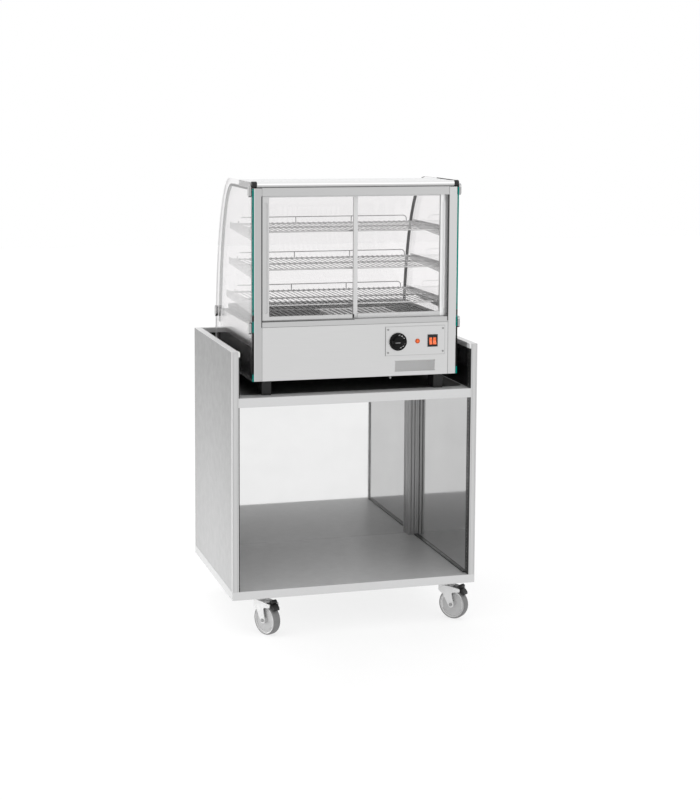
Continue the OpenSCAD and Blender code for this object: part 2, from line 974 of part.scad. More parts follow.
// Steel part of the roof: a tray that is open below
module roof_panel() {
    color("gainsboro")
        difference() {
            span([-glass_in, roof_y0, roof_z0], [glass_in, roof_y1, roof_z1]);
            span([-glass_in + sheet_t, roof_y0 + sheet_t, roof_z0 - 1],
                [glass_in - sheet_t, roof_y1 - sheet_t, roof_z1 - sheet_t]);
            span([-glass_in - 1, roof_y0 - 1, roof_z0 - 1], [glass_in + 1, post_y1 + 0.5, header_z1]);
        }
}

// Glass

function ellipse(a, b, t) = [round_cy + a * cos(t), round_cz + b * sin(t)];
function start_angle(b, h) = asin(max(0, display_z0 + h - round_cz) / b);
function arc(a, b, t0, n) = [for (i = [0:n]) ellipse(a, b, t0 + (90 - t0) * i / n)];
function curve_outer(h) = round_cy + curve_y * cos(start_angle(curve_z, h));
function curve_inner(h) = round_cy
    + (curve_y - curved_glass_t) * cos(start_angle(curve_z - curved_glass_t, h));
function turned(list) = [for (i = [len(list) - 1:-1:0]) list[i]];

// Side glass: straight edges with one long rounded corner
module side_glass_outline() {
    polygon(concat([[display_y, display_z0], [round_cy + round_y, display_z0]],
        arc(round_y, round_z, 0, 28),
        [[roof_y0 + 1, side_top], [roof_y0 + 1, tube_z - cap_r - 1],
            [display_y, tube_z - cap_r - 1]]));
}

module side_glass_right() {
    color("lightcyan", 0.4)
        profile_x(glass_in, glass_in + side_glass_t)
            side_glass_outline();
}

module side_glass_left() {
    color("lightcyan", 0.4)
        profile_x(-glass_in - side_glass_t, -glass_in)
            side_glass_outline();
}

// A strip that follows the curved glass, grown outwards and inwards, from the ledge to the roof
module curve_strip(out, inn, y_end) {
    a0 = curve_y + out;
    b0 = curve_z + out;
    a1 = curve_y - inn;
    b1 = curve_z - inn;
    polygon(concat(arc(a0, b0, start_angle(b0, curve_foot), 24), [[y_end, round_cz + b0],
        [y_end, round_cz + b1]], turned(arc(a1, b1, start_angle(b1, curve_foot), 24))));
}

module curved_glass() {
    color("lightcyan", 0.4)
        profile_x(-glass_in + seal_w, glass_in - seal_w)
            curve_strip(0, curved_glass_t, roof_y1 - roof_lap);
}

// Seals along the curved glass; under the roof they run on to the door posts
module glass_seals() {
    color("dimgray")
        pair()
            difference() {
                profile_x(glass_in - seal_w, glass_in)
                    curve_strip(seal_proud, seal_in, post_y1 + 2);
                span([glass_in - seal_w - 1, roof_y0, roof_z0], [glass_in + 1, roof_y1, roof_z1]);
            }
}

// Clips that hold the side glasses, each on a thin pad
module glass_clips() {
    pad = 1.5;
    body = 8;
    color("gainsboro")
        pair()
            for (at = [[display_y + 14, tube_z - clip_drop], [display_y + 12, housing_z1 - 2],
                [round_cy + curve_y - 12, housing_z1 - 8]])
                translate([0, at[0], at[1]]) {
                    profile_x(display_w / 2, display_w / 2 + pad)
                        clip_outline(8);
                    profile_x(display_w / 2 + pad, display_w / 2 + pad + body)
                        clip_outline(10);
                }
}

module clip_outline(r) {
    square([2 * r, 18], center = true);
    for (side = [-1, 1])
        translate([0, side * 9])
            circle(r = r);
}

// Shelves

bearer_flat = bearer_d / 2 * cos(22.5);
wire_flat = wire_d / 2 * cos(22.5);
bracket_x = open_x + 11;
shelf_half = bracket_x - 0.5;
shelf_y0 = post_y1 + 6;
level_z = [for (h = [low_level, middle_level, high_level]) sill_z1 + h];
far_gap = [low_gap, middle_gap, high_gap];
far_y = [for (i = [0:2]) curve_inner(level_z[i] - display_z0) - far_gap[i]];

// Cantilever brackets with a ledge for the bearers
module shelf_brackets() {
    plate = 2;
    ledge = 12;
    lip = 8;
    color("gainsboro")
        pair()
            for (i = [0:2]) {
                z = level_z[i];
                profile_x(bracket_x, bracket_x + plate)
                    polygon([[post_y1, z + lip - bracket_h], [far_y[i], z + lip - bracket_end_h],
                        [far_y[i], z + lip], [post_y1, z + lip]]);
                span([bracket_x - ledge, post_y1, z - bearer_flat - plate],
                    [bracket_x + plate / 2, far_y[i], z - bearer_flat]);
            }
}

// A straight wire with eight flats, so that crossing wires meet on flats
module wire(from, to, d, upright) {
    v = to - from;
    translate(from)
        rotate(upright ? [-90, 0, 0] : [0, 90, 0])
            rotate([0, 0, 22.5])
                cylinder(d = d, h = norm(v), $fn = 8);
}

module wire_shelf(z, end) {
    y1 = end - 4;
    count = floor(2 * (shelf_half - 12) / wire_pitch);
    for (y = [shelf_y0 + 3, (shelf_y0 + y1) / 2, y1 - 6])
        wire([-shelf_half, y, z], [shelf_half, y, z], bearer_d, false);
    for (i = [0:count])
        wire([(i - count / 2) * wire_pitch, shelf_y0, z + bearer_flat + wire_flat - 0.3],
            [(i - count / 2) * wire_pitch, y1, z + bearer_flat + wire_flat - 0.3], wire_d, true);
}

module wire_shelves() {
    color("lightgray")
        for (i = [0:2])
            wire_shelf(level_z[i], far_y[i]);
}

// Guard rail: a bow of wire with two middle legs, which stands on the far bearer
module guard_rail(z, y) {
    r = wire_d / 2;
    bend = 12;
    half = shelf_half - guard_inset;
    foot = z + bearer_flat;
    top = z + guard_h;
    rod_x(-half + bend, half - bend, r, y, top);
    pair() {
        translate([half, y, foot])
            cylinder(r = r, h = top - bend - foot);
        translate([guard_leg_pitch / 2, y, foot])
            cylinder(r = r, h = top - foot);
        translate([half - bend, y, top - bend])
            rotate([90, 0, 0])
                rotate_extrude(angle = 90)
                    translate([bend, 0])
                        circle(r = r, $fn = 24);
    }
}

module guard_rails() {
    color("lightgray")
        for (i = [0:2])
            guard_rail(level_z[i], far_y[i] - 10);
}

// Slotted floor over the heater chamber: a plate level with the sill, on flanges
module floor_grille() {
    plate = 2;
    x = open_x;
    y0 = post_y1 + 12;
    y1 = housing_y1 - 22;
    count = floor((2 * x - 44) / grille_pitch);
    color("gray") {
        translate([0, 0, sill_z1])
            linear_extrude(plate)
                difference() {
                    translate([-x, y0])
                        square([2 * x, y1 - y0]);
                    for (i = [0:count], y = [y0 + 20, (y0 + y1) / 2 + 10])
                        translate([(i - count / 2) * grille_pitch, y + grille_slot / 2])
                            slot_outline((y1 - y0) / 2 - 30 - grille_slot);
                }
        for (y = [y0, y1 - plate])
            span([-x, y, housing_z1], [x, y + plate, sill_z1 + plate]);
        for (x1 = [-x, x - plate])
            span([x1, y0, housing_z1], [x1 + plate, y1, sill_z1 + plate]);
    }
}

module slot_outline(length) {
    translate([-grille_slot / 2, 0])
        square([grille_slot, length]);
    for (y = [0, length])
        translate([0, y])
            circle(d = grille_slot);
}

// Doors, drawn for the left-hand track; the frame is a stile with a top and a bottom rail

module door_frame(x0, x1, y, stile_at) {
    s0 = stile_at < 0 ? x0 : x1 - stile_w;
    foot = stile_at < 0 ? door_z0 : sill_z1 + rear_lift;
    pull_x = s0 + (stile_w - pull_w) / 2 - stile_at * pull_shift;
    difference() {
        union() {
            span([s0, y, foot], [s0 + stile_w, y + door_t, header_z0 - slide_fit]);
            span([x0, y, foot], [x1, y + door_t, door_z0 + door_rail_h]);
            span([x0, y + 2, header_z0 - 4], [x1, y + door_t - 2, door_z1]);
            span([x0 + 4, y + (door_t - guide_t) / 2, sill_z1 - guide_h + slide_fit],
                [x1 - 4, y + (door_t + guide_t) / 2, door_z0 + 1]);
        }
        span([x0 - 1, y + (door_t - door_glass_t) / 2, door_z0 + door_rail_h - 6],
            [x1 + 1, y + (door_t + door_glass_t) / 2, header_z0 - 2]);
        hull()
            for (z = [pull_z + pull_w / 2, pull_z + pull_l - pull_w / 2])
                rod_y(y - 1, y + pull_depth, pull_w / 2, pull_x + pull_w / 2, z);
    }
}

module door_glass(x0, x1, y) {
    span([x0, y + (door_t - door_glass_t) / 2, door_z0 + door_rail_h - 6],
        [x1, y + (door_t + door_glass_t) / 2, header_z0 - 2]);
}

module door_left_frame() {
    color("silver")
        door_frame(-door_x1, front_door_free, track_y[0], -1);
}

module door_left_glass() {
    color("lightcyan", 0.4)
        door_glass(-door_x1 + 8, front_door_free, track_y[0]);
}

// The rear door also carries the strip that closes the gap to the front door
module door_right_frame() {
    color("silver") {
        door_frame(rear_door_x0, door_x1, track_y[1], 1);
        span([rear_door_x0 - meeting_w, track_y[1] + 2, sill_z1 + rear_lift],
            [rear_door_x0, track_y[1] + door_t - 2, header_z0 - slide_fit]);
    }
}

module door_right_glass() {
    color("lightcyan", 0.4)
        door_glass(rear_door_x0, door_x1 - 8, track_y[1]);
}

base_deck();
side_panel_left();
side_panel_right();
customer_panel();
upper_shelf();
edge_profiles();
bay_linings();
recess_linings();
corner_posts();
rim_profiles();
rim_end_caps();
trim_strips();
caster_plates();
caster_bolts();
display_housing();
fascia_panel();
control_plate();
control_screws();
thermostat();
pilot_lamp();
rocker_frame();
display_feet();
door_posts();
header_rail();
sill_track();
side_glass_left();
side_glass_right();
curved_glass();
glass_seals();
roof_panel();
roof_tube();
roof_end_caps();
glass_clips();
shelf_brackets();
wire_shelves();
guard_rails();
floor_grille();
bonding_screw();
cable_gland();
door_left_frame();
door_left_glass();
door_right_frame();
door_right_glass();
thermostat_knob();
rocker_left();
rocker_right();
fork_front_left();
fork_front_right();
fork_rear_left();
fork_rear_right();
tyre_front_left();
tyre_front_right();
tyre_rear_left();
tyre_rear_right();
hub_front_left();
hub_front_right();
hub_rear_left();
hub_rear_right();
pedal_front_left();
pedal_front_right();
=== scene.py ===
# %% [markdown]
# # A mobile serving counter with a heated glass display
# A grey laminated trolley carries a glass display that keeps food warm. The lesson starts from solids
# that are already in place, so nothing here moves or resizes them. Each step gives one group of pieces
# its rounded edges and its finish, and adds the small parts that a plain solid leaves out.

# %% Load the fixed solids
import json
import math

import bmesh
import bpy
from mathutils import Matrix, Vector

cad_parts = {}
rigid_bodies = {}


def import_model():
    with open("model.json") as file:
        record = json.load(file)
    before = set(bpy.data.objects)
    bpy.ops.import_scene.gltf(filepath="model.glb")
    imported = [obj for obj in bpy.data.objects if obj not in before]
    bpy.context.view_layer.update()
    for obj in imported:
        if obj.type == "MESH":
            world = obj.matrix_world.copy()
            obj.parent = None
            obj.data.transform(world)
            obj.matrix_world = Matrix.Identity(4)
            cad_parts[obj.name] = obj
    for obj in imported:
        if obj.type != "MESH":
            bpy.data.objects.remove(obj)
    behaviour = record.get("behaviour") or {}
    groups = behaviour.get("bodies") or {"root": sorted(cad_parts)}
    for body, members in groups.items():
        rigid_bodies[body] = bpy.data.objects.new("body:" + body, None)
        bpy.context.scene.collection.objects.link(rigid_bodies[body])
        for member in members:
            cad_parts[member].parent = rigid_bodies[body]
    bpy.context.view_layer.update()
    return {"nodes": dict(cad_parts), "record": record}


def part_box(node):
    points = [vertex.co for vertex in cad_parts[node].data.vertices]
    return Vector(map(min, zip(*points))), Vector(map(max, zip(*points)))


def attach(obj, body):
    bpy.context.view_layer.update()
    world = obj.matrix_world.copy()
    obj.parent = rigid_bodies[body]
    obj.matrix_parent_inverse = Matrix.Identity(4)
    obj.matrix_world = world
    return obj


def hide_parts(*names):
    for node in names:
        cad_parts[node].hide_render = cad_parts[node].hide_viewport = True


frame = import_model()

behaviour = frame["record"]["behaviour"]
body_of = {node: body for body, nodes in behaviour["bodies"].items() for node in nodes}


def shown(name, data):
    """Make an object of some data and link it to the scene."""
    obj = bpy.data.objects.new(name, data)
    bpy.context.scene.collection.objects.link(obj)
    return obj


def as_mesh(bm, name):
    """Turn an edited mesh into a new mesh of that name."""
    mesh = bpy.data.meshes.new(name)
    bm.to_mesh(mesh)
    bm.free()
    return mesh


# %% [markdown]
# ## The camera
# The photograph was taken from the left of the service side, a little above the display. A long lens
# keeps the uprights nearly parallel. The camera points slightly down, and the frame is shifted so that
# the whole counter fits under the horizon line, as a photographer does with a shift lens.

# %% Camera
EYE = Vector((-1.5385, -5.4566, 1.7223))
YAW, PITCH, ROLL = (math.radians(a) for a in (16.359, 6.094, 0.324))
FOCAL_PIXELS, FRAME_HEIGHT, AXIS_ROW = 1696.05, 800, 280
SENSOR_WIDTH = 36

ahead = Vector((math.sin(YAW) * math.cos(PITCH), math.cos(YAW) * math.cos(PITCH), -math.sin(PITCH)))
level = Vector((math.cos(YAW), -math.sin(YAW), 0))
upward = level.cross(ahead)
right = level * math.cos(ROLL) + upward * math.sin(ROLL)
top = upward * math.cos(ROLL) - level * math.sin(ROLL)

camera_data = bpy.data.cameras.new("camera")
camera_data.sensor_width = SENSOR_WIDTH
camera_data.lens = FOCAL_PIXELS * SENSOR_WIDTH / FRAME_HEIGHT
camera_data.shift_y = (AXIS_ROW - FRAME_HEIGHT / 2) / FRAME_HEIGHT
camera = shown("camera", camera_data)
camera.matrix_world = Matrix.Translation(EYE) @ Matrix((right, top, -ahead)).transposed().to_4x4()
bpy.context.scene.camera = camera
print("lens", round(camera_data.lens, 2), "mm, shift", round(camera_data.shift_y, 3))

# %% [markdown]
# ## Writing shader maths as Python
# A shader is a small network of nodes. Wiring it by hand is slow to read, so one class wraps a node's
# output and overloads the arithmetic operators. An expression such as `1 - mask * 0.4` then adds its
# own Math nodes. Numbers alone are still worked out in Python.

# %% Sockets and finishes
class Wire:
    """A node's output that takes part in Python arithmetic."""

    def __init__(self, finish, socket):
        self.finish, self.socket = finish, socket

    def _math(self, operation, *terms):
        return self.finish.add("ShaderNodeMath", {"operation": operation}, dict(enumerate(terms)))

    def __add__(self, other):
        return self._math("ADD", self, other)

    def __sub__(self, other):
        return self._math("SUBTRACT", self, other)

    def __rsub__(self, other):
        return self._math("SUBTRACT", other, self)

    def __mul__(self, other):
        return self._math("MULTIPLY", self, other)

    def __truediv__(self, other):
        return self._math("DIVIDE", self, other)

    def __gt__(self, other):
        return self._math("GREATER_THAN", self, other)

    def __lt__(self, other):
        return self._math("LESS_THAN", self, other)

    def __pow__(self, other):
        return self._math("POWER", self, other)

    def wrap(self, low, high):
        """The node takes the upper limit first."""
        return self._math("WRAP", self, high, low)

    def size(self):
        return self._math("ABSOLUTE", self)

    __radd__, __rmul__ = __add__, __mul__


class Finish:
    """A material whose nodes are added one at a time."""

    def __init__(self, name, **plain):
        self.material = bpy.data.materials.new(name)
        self.material.use_nodes = True
        self.nodes = self.material.node_tree.nodes
        self.shader = self.nodes["Principled BSDF"]
        for key, value in plain.items():
            self.shader.inputs[key.replace("_", " ")].default_value = value

    def add(self, kind, settings, values, output=0):
        """Add a node. The settings are its own properties, and the values go to its inputs."""
        node = self.nodes.new(kind)
        for key, value in settings.items():
            setattr(node, key, value)
        for key, value in values.items():
            self.feed(node.inputs[key], value)
        return Wire(self, node.outputs[output])

    def feed(self, socket, value):
        if isinstance(value, Wire):
            self.material.node_tree.links.new(value.socket, socket)
        else:
            socket.default_value = value

    def drive(self, **links):
        for key, value in links.items():
            self.feed(self.shader.inputs[key.replace("_", " ")], value)
        return self.material

    def place(self):
        return self.add("ShaderNodeTexCoord", {}, {}, "Object")

    def axes(self):
        split = self.nodes.new("ShaderNodeSeparateXYZ")
        self.feed(split.inputs[0], self.place())
        return [Wire(self, s) for s in split.outputs]

    def noise(self, scale, detail=2.0, stretch=(1, 1, 1)):
        where = self.add("ShaderNodeMapping", {}, {0: self.place(), "Scale": stretch})
        return self.add("ShaderNodeTexNoise", {}, {"Vector": where, "Scale": scale, "Detail": detail})

    def blend(self, mask, first, second):
        """Mix two colours. Inputs 6 and 7 and output 2 are the node's colour sockets."""
        return self.add("ShaderNodeMix", {"data_type": "RGBA"}, {0: mask, 6: first, 7: second}, 2)

    def spread(self, value, low, high):
        """Stretch a noise, which mostly stays between 0.3 and 0.7, over a chosen range."""
        return self.add("ShaderNodeMapRange", {}, {0: value, 1: 0.3, 2: 0.7, 3: low, 4: high})

    def bump(self, height, strength, distance):
        return self.add("ShaderNodeBump", {}, {"Height": height, "Strength": strength,
                                               "Distance": distance})


def grey(value, warm=0.0):
    return (value * (1 + warm), value, value * (1 - warm), 1)


def scaled(colour, factor):
    return tuple(min(1, c * factor) for c in colour[:3]) + (1,)


def within(value, low, high):
    return (value > low) * (value < high)


print("sockets and finishes ready")

# %% [markdown]
# ## The boards' laminate
# The counter is built of chipboard under a light grey laminate. Laminate looks plain from afar, but up
# close it has a very fine mottle and a soft, uneven sheen. Two noises at different scales give both.
# The mottle only changes the colour a little, because a strong pattern would read as stone. The edge
# bands are cut from the same sheet, but they catch the light, so they are painted a shade paler as
# painted light. The side panels are painted darker, and darker towards the top, as painted shade.

# %% Laminate
DECK_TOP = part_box("base_deck")[1].z
SHELF_LOW, SHELF_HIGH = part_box("upper_shelf")
FIELD_SIDE, FIELD_INSET, FIELD_CORNER = 0.006, 0.055, 0.030
JOINT_HEIGHT, FACE_DEPTH = 0.0011, 0.0005
SHADE_FROM, SHADE_RATE = 0.2, 1.5


def painted_shade_and_joint(f, colour):
    """Painted shade: the panel is painted darker upwards. It also has a dark hairline where it stands on the
    base deck.
    """
    z = f.axes()[2]
    darker = f.blend((z - SHADE_FROM) * SHADE_RATE, colour, grey(0.215))
    return f.blend(z < DECK_TOP + JOINT_HEIGHT, darker, grey(0.09))


def black_field(f, colour):
    """The upper shelf's top is painted black inside a rectangle with rounded corners."""
    x, y, z = f.axes()
    over_x = SHELF_HIGH.x - FIELD_SIDE - x.size()
    over_y = y - SHELF_LOW.y - FIELD_INSET
    short_x, short_y = FIELD_CORNER - over_x, FIELD_CORNER - over_y
    short_x, short_y = short_x * (short_x > 0), short_y * (short_y > 0)
    rounded = short_x * short_x + short_y * short_y < FIELD_CORNER ** 2
    return f.blend(rounded * (z > SHELF_HIGH.z - FACE_DEPTH), colour, grey(0.05))


def laminate(name, tone, shade=None):
    """Mottled laminate. A shade is a function that draws on its colour."""
    f = Finish(name, Specular_IOR_Level=0.4)
    mottle = f.noise(900, 3) * 0.8 + f.noise(3, 2) * 0.2
    colour = f.blend(f.spread(mottle, 0.0, 1.0), grey(tone * 0.95), grey(tone * 1.04, -0.004))
    if shade:
        colour = shade(f, colour)
    sheen = f.spread(f.noise(40, 3), 0.36, 0.48)
    return f.drive(Base_Color=colour, Roughness=sheen, Normal=f.bump(f.noise(1400, 2), 0.05, 0.0002))


board = laminate("grey_laminate", 0.46)
# Painted shade: the side panels' laminate is darker than the others and darker towards the top.
shaded_side_board = laminate("shaded_side_laminate", 0.32, painted_shade_and_joint)
shelf_board = laminate("shelf_laminate", 0.50, black_field)
# Painted light: the edge bands and the side panels' top edges are paler copies of the laminate.
lit_band = laminate("lit_edge_band_laminate", 0.58)
lit_top_edge = laminate("lit_top_edge_laminate", 0.72)
print("laminates:", board.name, shaded_side_board.name, shelf_board.name, lit_band.name, lit_top_edge.name)

# %% [markdown]
# ## Metals
# Brushed stainless steel has thousands of fine scratches in one direction. A noise that is stretched
# along that direction gives streaks, which change the roughness more than the colour. The satin steel
# isn't fully metallic, because its scratches scatter light like a matt surface. Anodised aluminium is
# duller still, and zinc plating is duller than both. The polished linings are nearly a mirror. Faint
# smears change how sharp their reflection is.

# %% Steel, aluminium and mirror
def brushed(name, tone, rough, stretch, streak=0.05, metal=1.0, cloudy=0.16, shade=None):
    """Metal with fine streaks and a soft change of tone. A shade draws on its colour."""
    f = Finish(name, Metallic=metal)
    lines = f.noise(1, 3, stretch)
    cloud = f.noise(3.5, 2)
    colour = f.blend(f.spread(lines, 0, 1), grey(tone * (1 - streak)), grey(tone * (1 + streak)))
    colour = f.blend(f.spread(cloud, 0, cloudy), colour, grey(tone * 0.9))
    if shade:
        colour = shade(f, colour)
    sheen = f.spread(lines * 0.7 + cloud * 0.3, rough * 0.82, rough * 1.2)
    return f.drive(Base_Color=colour, Roughness=sheen, Normal=f.bump(lines, 0.06, 0.0002))


def even(scale):
    """A stretch that is the same along all three axes."""
    return (scale, scale, scale)


ALONG_X, ALONG_Y, ALONG_Z = (18, 1500, 1500), (1500, 18, 1500), (900, 900, 12)
ALONG_RAIL = (12, 900, 900)
steel = brushed("satin_steel", 0.60, 0.34, ALONG_X, 0.02, 0.75)
steel_side = brushed("satin_steel_side", 0.74, 0.10, ALONG_Y, 0.02, 0.75, cloudy=0.02)
bracket_steel = brushed("bracket_steel", 0.50, 0.26, ALONG_Y, 0.02, 0.75)
anodised = brushed("anodised_upright", 0.55, 0.36, ALONG_Z, 0.02, 0.6)
roof_side = brushed("anodised_roof_side", 0.42, 0.36, ALONG_Y, 0.02, 0.6)
slotted = brushed("slotted_post", 0.40, 0.34, ALONG_Z, 0.08, 0.7)
zinc = brushed("bright_zinc", 0.66, 0.32, even(60), 0.03, 0.35)
plated = brushed("plated_wire", 0.36, 0.22, even(200), 0.04, 0.8)
plated_bright = brushed("plated_bearer", 0.62, 0.20, even(200), 0.04, 0.8)
chrome = brushed("polished_chrome", 0.42, 0.10, even(90), 0.03)
dull_screw = brushed("screw_steel", 0.32, 0.32, even(700), 0.10)


def mirror(name, tone, rough):
    """Polished metal, with smears that blur its reflection a little."""
    f = Finish(name, Metallic=1.0)
    smear = f.noise(9, 3)
    return f.drive(Base_Color=f.blend(f.spread(smear, 0, 1), grey(tone), grey(tone * 0.97)),
                   Roughness=f.spread(smear, rough, rough * 2.2))


polished = mirror("polished_lining", 0.82, 0.02)
polished_side = mirror("polished_side_lining", 0.60, 0.03)
print("metals made")

# %% [markdown]
# ## Plastics, rubber, enamel and glass
# Moulded plastic has a fine spark-eroded grain, which a high noise in a Bump node gives. Tyres are
# grey and wear to a paler tone. The panes are thin, so they need no real refraction: a see-through
# shader is mixed with a mirror. A pane reflects 4 % of the light that meets it head on and nearly all
# of it at a grazing angle, and a fifth power of Layer Weight's Facing follows that curve. The side
# panes are glued to the posts. There the inner face meets glue and not air, so it reflects much less.
# The cut edges of real panes look deep green, because light travels along the glass there.

# %% Plastics and rubber
def moulded(name, colour, rough, grain=0.10, shift=0.10, shine=0.45):
    """Plastic, rubber or enamel with a fine grain."""
    f = Finish(name, Specular_IOR_Level=shine)
    cloud = f.noise(60, 3)
    dark, light = scaled(colour, 1 - shift), scaled(colour, 1 + shift)
    return f.drive(Base_Color=f.blend(f.spread(cloud, 0, 1), dark, light),
                   Roughness=f.spread(cloud, rough * 0.88, rough * 1.12),
                   Normal=f.bump(f.noise(2600, 2), grain, 0.0001))


black = moulded("black_plastic", grey(0.014), 0.42, shine=0.30)
knob_black = moulded("knob_black", grey(0.006), 0.40, shine=0.12)
white = moulded("white_plastic", grey(0.80), 0.40, shift=0.03)
white_print = moulded("white_print", grey(0.75), 0.5, shift=0.02)
gland_grey = moulded("gland_plastic", grey(0.20), 0.45)
trim_grey = moulded("grey_trim", grey(0.62), 0.35, shift=0.03)
gasket = moulded("black_gasket", grey(0.035), 0.60)
tyre_rubber = moulded("tyre_rubber", grey(0.175), 0.62, 0.2)
hub_plastic = moulded("hub_plastic", grey(0.40), 0.42, shift=0.04)
hub_ring = moulded("hub_ring", grey(0.66), 0.40, shift=0.03)
roof_enamel = moulded("roof_enamel", grey(0.73, -0.004), 0.30, 0.02, 0.02)
strip_edge = moulded("strip_plastic", grey(0.34), 0.30, shift=0.02)
print("plastics, rubber and enamel made")

# %% Black gloss, lit lenses and glass
LAMP_LOW, LAMP_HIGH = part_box("pilot_lamp")
ROCKER_LOW, ROCKER_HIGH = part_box("rocker_left")
POST_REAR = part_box("door_posts")[1].y
CLEAR, PALE_ORANGE = (0.960, 0.955, 0.957, 1), (0.80, 0.42, 0.25, 1)
RIBS_PER_METRE, LOBE_GAP = 900, 0.0000045
# The switch's upper and left margins are painted black as shadow, this deep.
RIM_SHADOW_TOP, RIM_SHADOW_LEFT = 0.0045, 0.0022
HEAD_ON, GRAZING_GAIN, GLUED_LOSS = 0.04, 0.9, 0.38
DARK_BEHIND_EDGE = ((0.8555, 0.988), (1.0235, 1.0435), (1.056, 1.059))


def gloss_black():
    """Black gloss under a little dust."""
    f = Finish("black_gloss", Specular_IOR_Level=0.10, Coat_Weight=0.06, Coat_Roughness=0.03)
    dust = f.noise(24, 4)
    return f.drive(Base_Color=f.blend(f.spread(dust, 0, 1), grey(0.006), grey(0.016)),
                   Roughness=f.spread(dust, 0.04, 0.09))


def lit_lens(name, colour, glow, pattern, pale=None, painted_shadow=None):
    """A lens that is lit from behind, with its pattern, pale flecks and a painted shadow at two margins."""
    f = Finish(name, Roughness=0.18, Emission_Strength=glow)
    x, _, z = f.axes()
    shade = f.blend(pattern(x, z), scaled(colour, 0.5), colour)
    if pale:
        shade = f.blend(f.noise(1, 3, (700, 700, 160)) > 0.62, shade, pale)
    if painted_shadow:
        shade = f.blend(painted_shadow(x, z), shade, grey(0.01))
    return f.drive(Base_Color=shade, Emission_Color=shade)


def ribbed(x, _):
    """Upright ribs, half of them a shade darker."""
    return ((x * RIBS_PER_METRE).wrap(0, 1) > 0.5) * 0.35 + 0.65


def crossed(x, z):
    """Four lobes with a brighter cross between them."""
    middle = (LAMP_LOW + LAMP_HIGH) / 2
    return ((x - middle.x) * (z - middle.z)).size() < LOBE_GAP


def rocker_painted_shadow(x, z):
    """Painted shadow: the upper and left margins of the switch are painted black."""
    return (z > ROCKER_HIGH.z - RIM_SHADOW_TOP) + (x < ROCKER_LOW.x + RIM_SHADOW_LEFT) > 0.5


def pane(name, clearness, glued_to=None):
    """Clear glass. In front of glued_to it is stuck to a post, and there it reflects less."""
    f = Finish(name, Metallic=1.0)
    smear = f.noise(5, 3)
    f.drive(Base_Color=f.blend(f.spread(smear, 0, 1), CLEAR, grey(0.96)),
            Roughness=f.spread(smear, 0.01, 0.03))
    clear = f.add("ShaderNodeBsdfTransparent", {}, {"Color": clearness})
    grazing = f.add("ShaderNodeLayerWeight", {}, {"Blend": 0.5}, "Facing")
    mirror_like = Wire(f, f.shader.outputs[0])
    share = grazing ** 5 * GRAZING_GAIN + HEAD_ON
    if glued_to is not None:
        share = share * (1 - GLUED_LOSS * (f.axes()[1] < glued_to))
    mixed = f.add("ShaderNodeMixShader", {}, {0: share, 1: clear, 2: mirror_like})
    f.feed(f.nodes["Material Output"].inputs["Surface"], mixed)
    return f.material


def green_edge():
    """Deep green, and black where a dark part stands behind the edge."""
    f = Finish("green_glass_edge", Roughness=0.60, Specular_IOR_Level=0.0)
    depth = f.noise(1, 2, (400, 400, 9))
    green = f.blend(f.spread(depth, 0, 1), (0.0, 0.15, 0.125, 1), (0.0, 0.22, 0.185, 1))
    z = f.axes()[2]
    dark = sum(within(z, low, high) for low, high in DARK_BEHIND_EDGE)
    return f.drive(Base_Color=f.blend(dark, green, grey(0.012)))


black_gloss = gloss_black()
orange = lit_lens("lit_orange", (0.85, 0.12, 0.015, 1), 0.30, ribbed, PALE_ORANGE, rocker_painted_shadow)
red_lamp = lit_lens("lit_red_orange", (0.80, 0.12, 0.015, 1), 0.12, crossed)
clear_glass = pane("clear_glass", CLEAR)
side_glass = pane("side_glass", CLEAR, POST_REAR)
door_glass = pane("door_glass", (0.985, 0.982, 0.982, 1))
strip_glass = pane("meeting_strip", (0.93, 0.932, 0.935, 1))
glass_edge = green_edge()
# Painted light and shade: cut edges that face the light are painted pale, the others grey.
lit_pale_edge = moulded("lit_ground_glass_edge", grey(0.78), 0.30, 0.04, 0.03)
shaded_edge = moulded("shaded_glass_edge", grey(0.16), 0.40, 0.04, 0.05)
print("finishes:", len(bpy.data.materials))

# %% [markdown]
# ## Rounded edges
# No real edge is perfectly sharp, and the thin highlight along a rounded edge is what makes a part look
# solid. Each solid is copied, its doubled points are merged, and a Bevel modifier rounds only the
# corners that are sharper than a set angle. The copy stands in for the plain solid and rides on the
# same body. Some pieces carry several finishes, so a small rule picks one for each face. The few small
# pieces that the solids leave out are rounded blocks, and each rides on the body that it belongs to.

# %% Helpers that dress a solid and add a small block
WELD_DISTANCE, FLAT_ANGLE = 2e-6, math.radians(0.5)


def finished(obj, node=None, body=None):
    """Parent a piece to the body that it rides on, and hide the solid that it stands for."""
    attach(obj, body or body_of[node])
    if node:
        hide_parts(node)
    return obj


def settle(obj):
    """Apply what shapes the object and return it as a plain mesh."""
    seen = obj.evaluated_get(bpy.context.evaluated_depsgraph_get())
    mesh = bpy.data.meshes.new_from_object(seen)
    obj.modifiers.clear()
    obj.data = mesh
    return obj


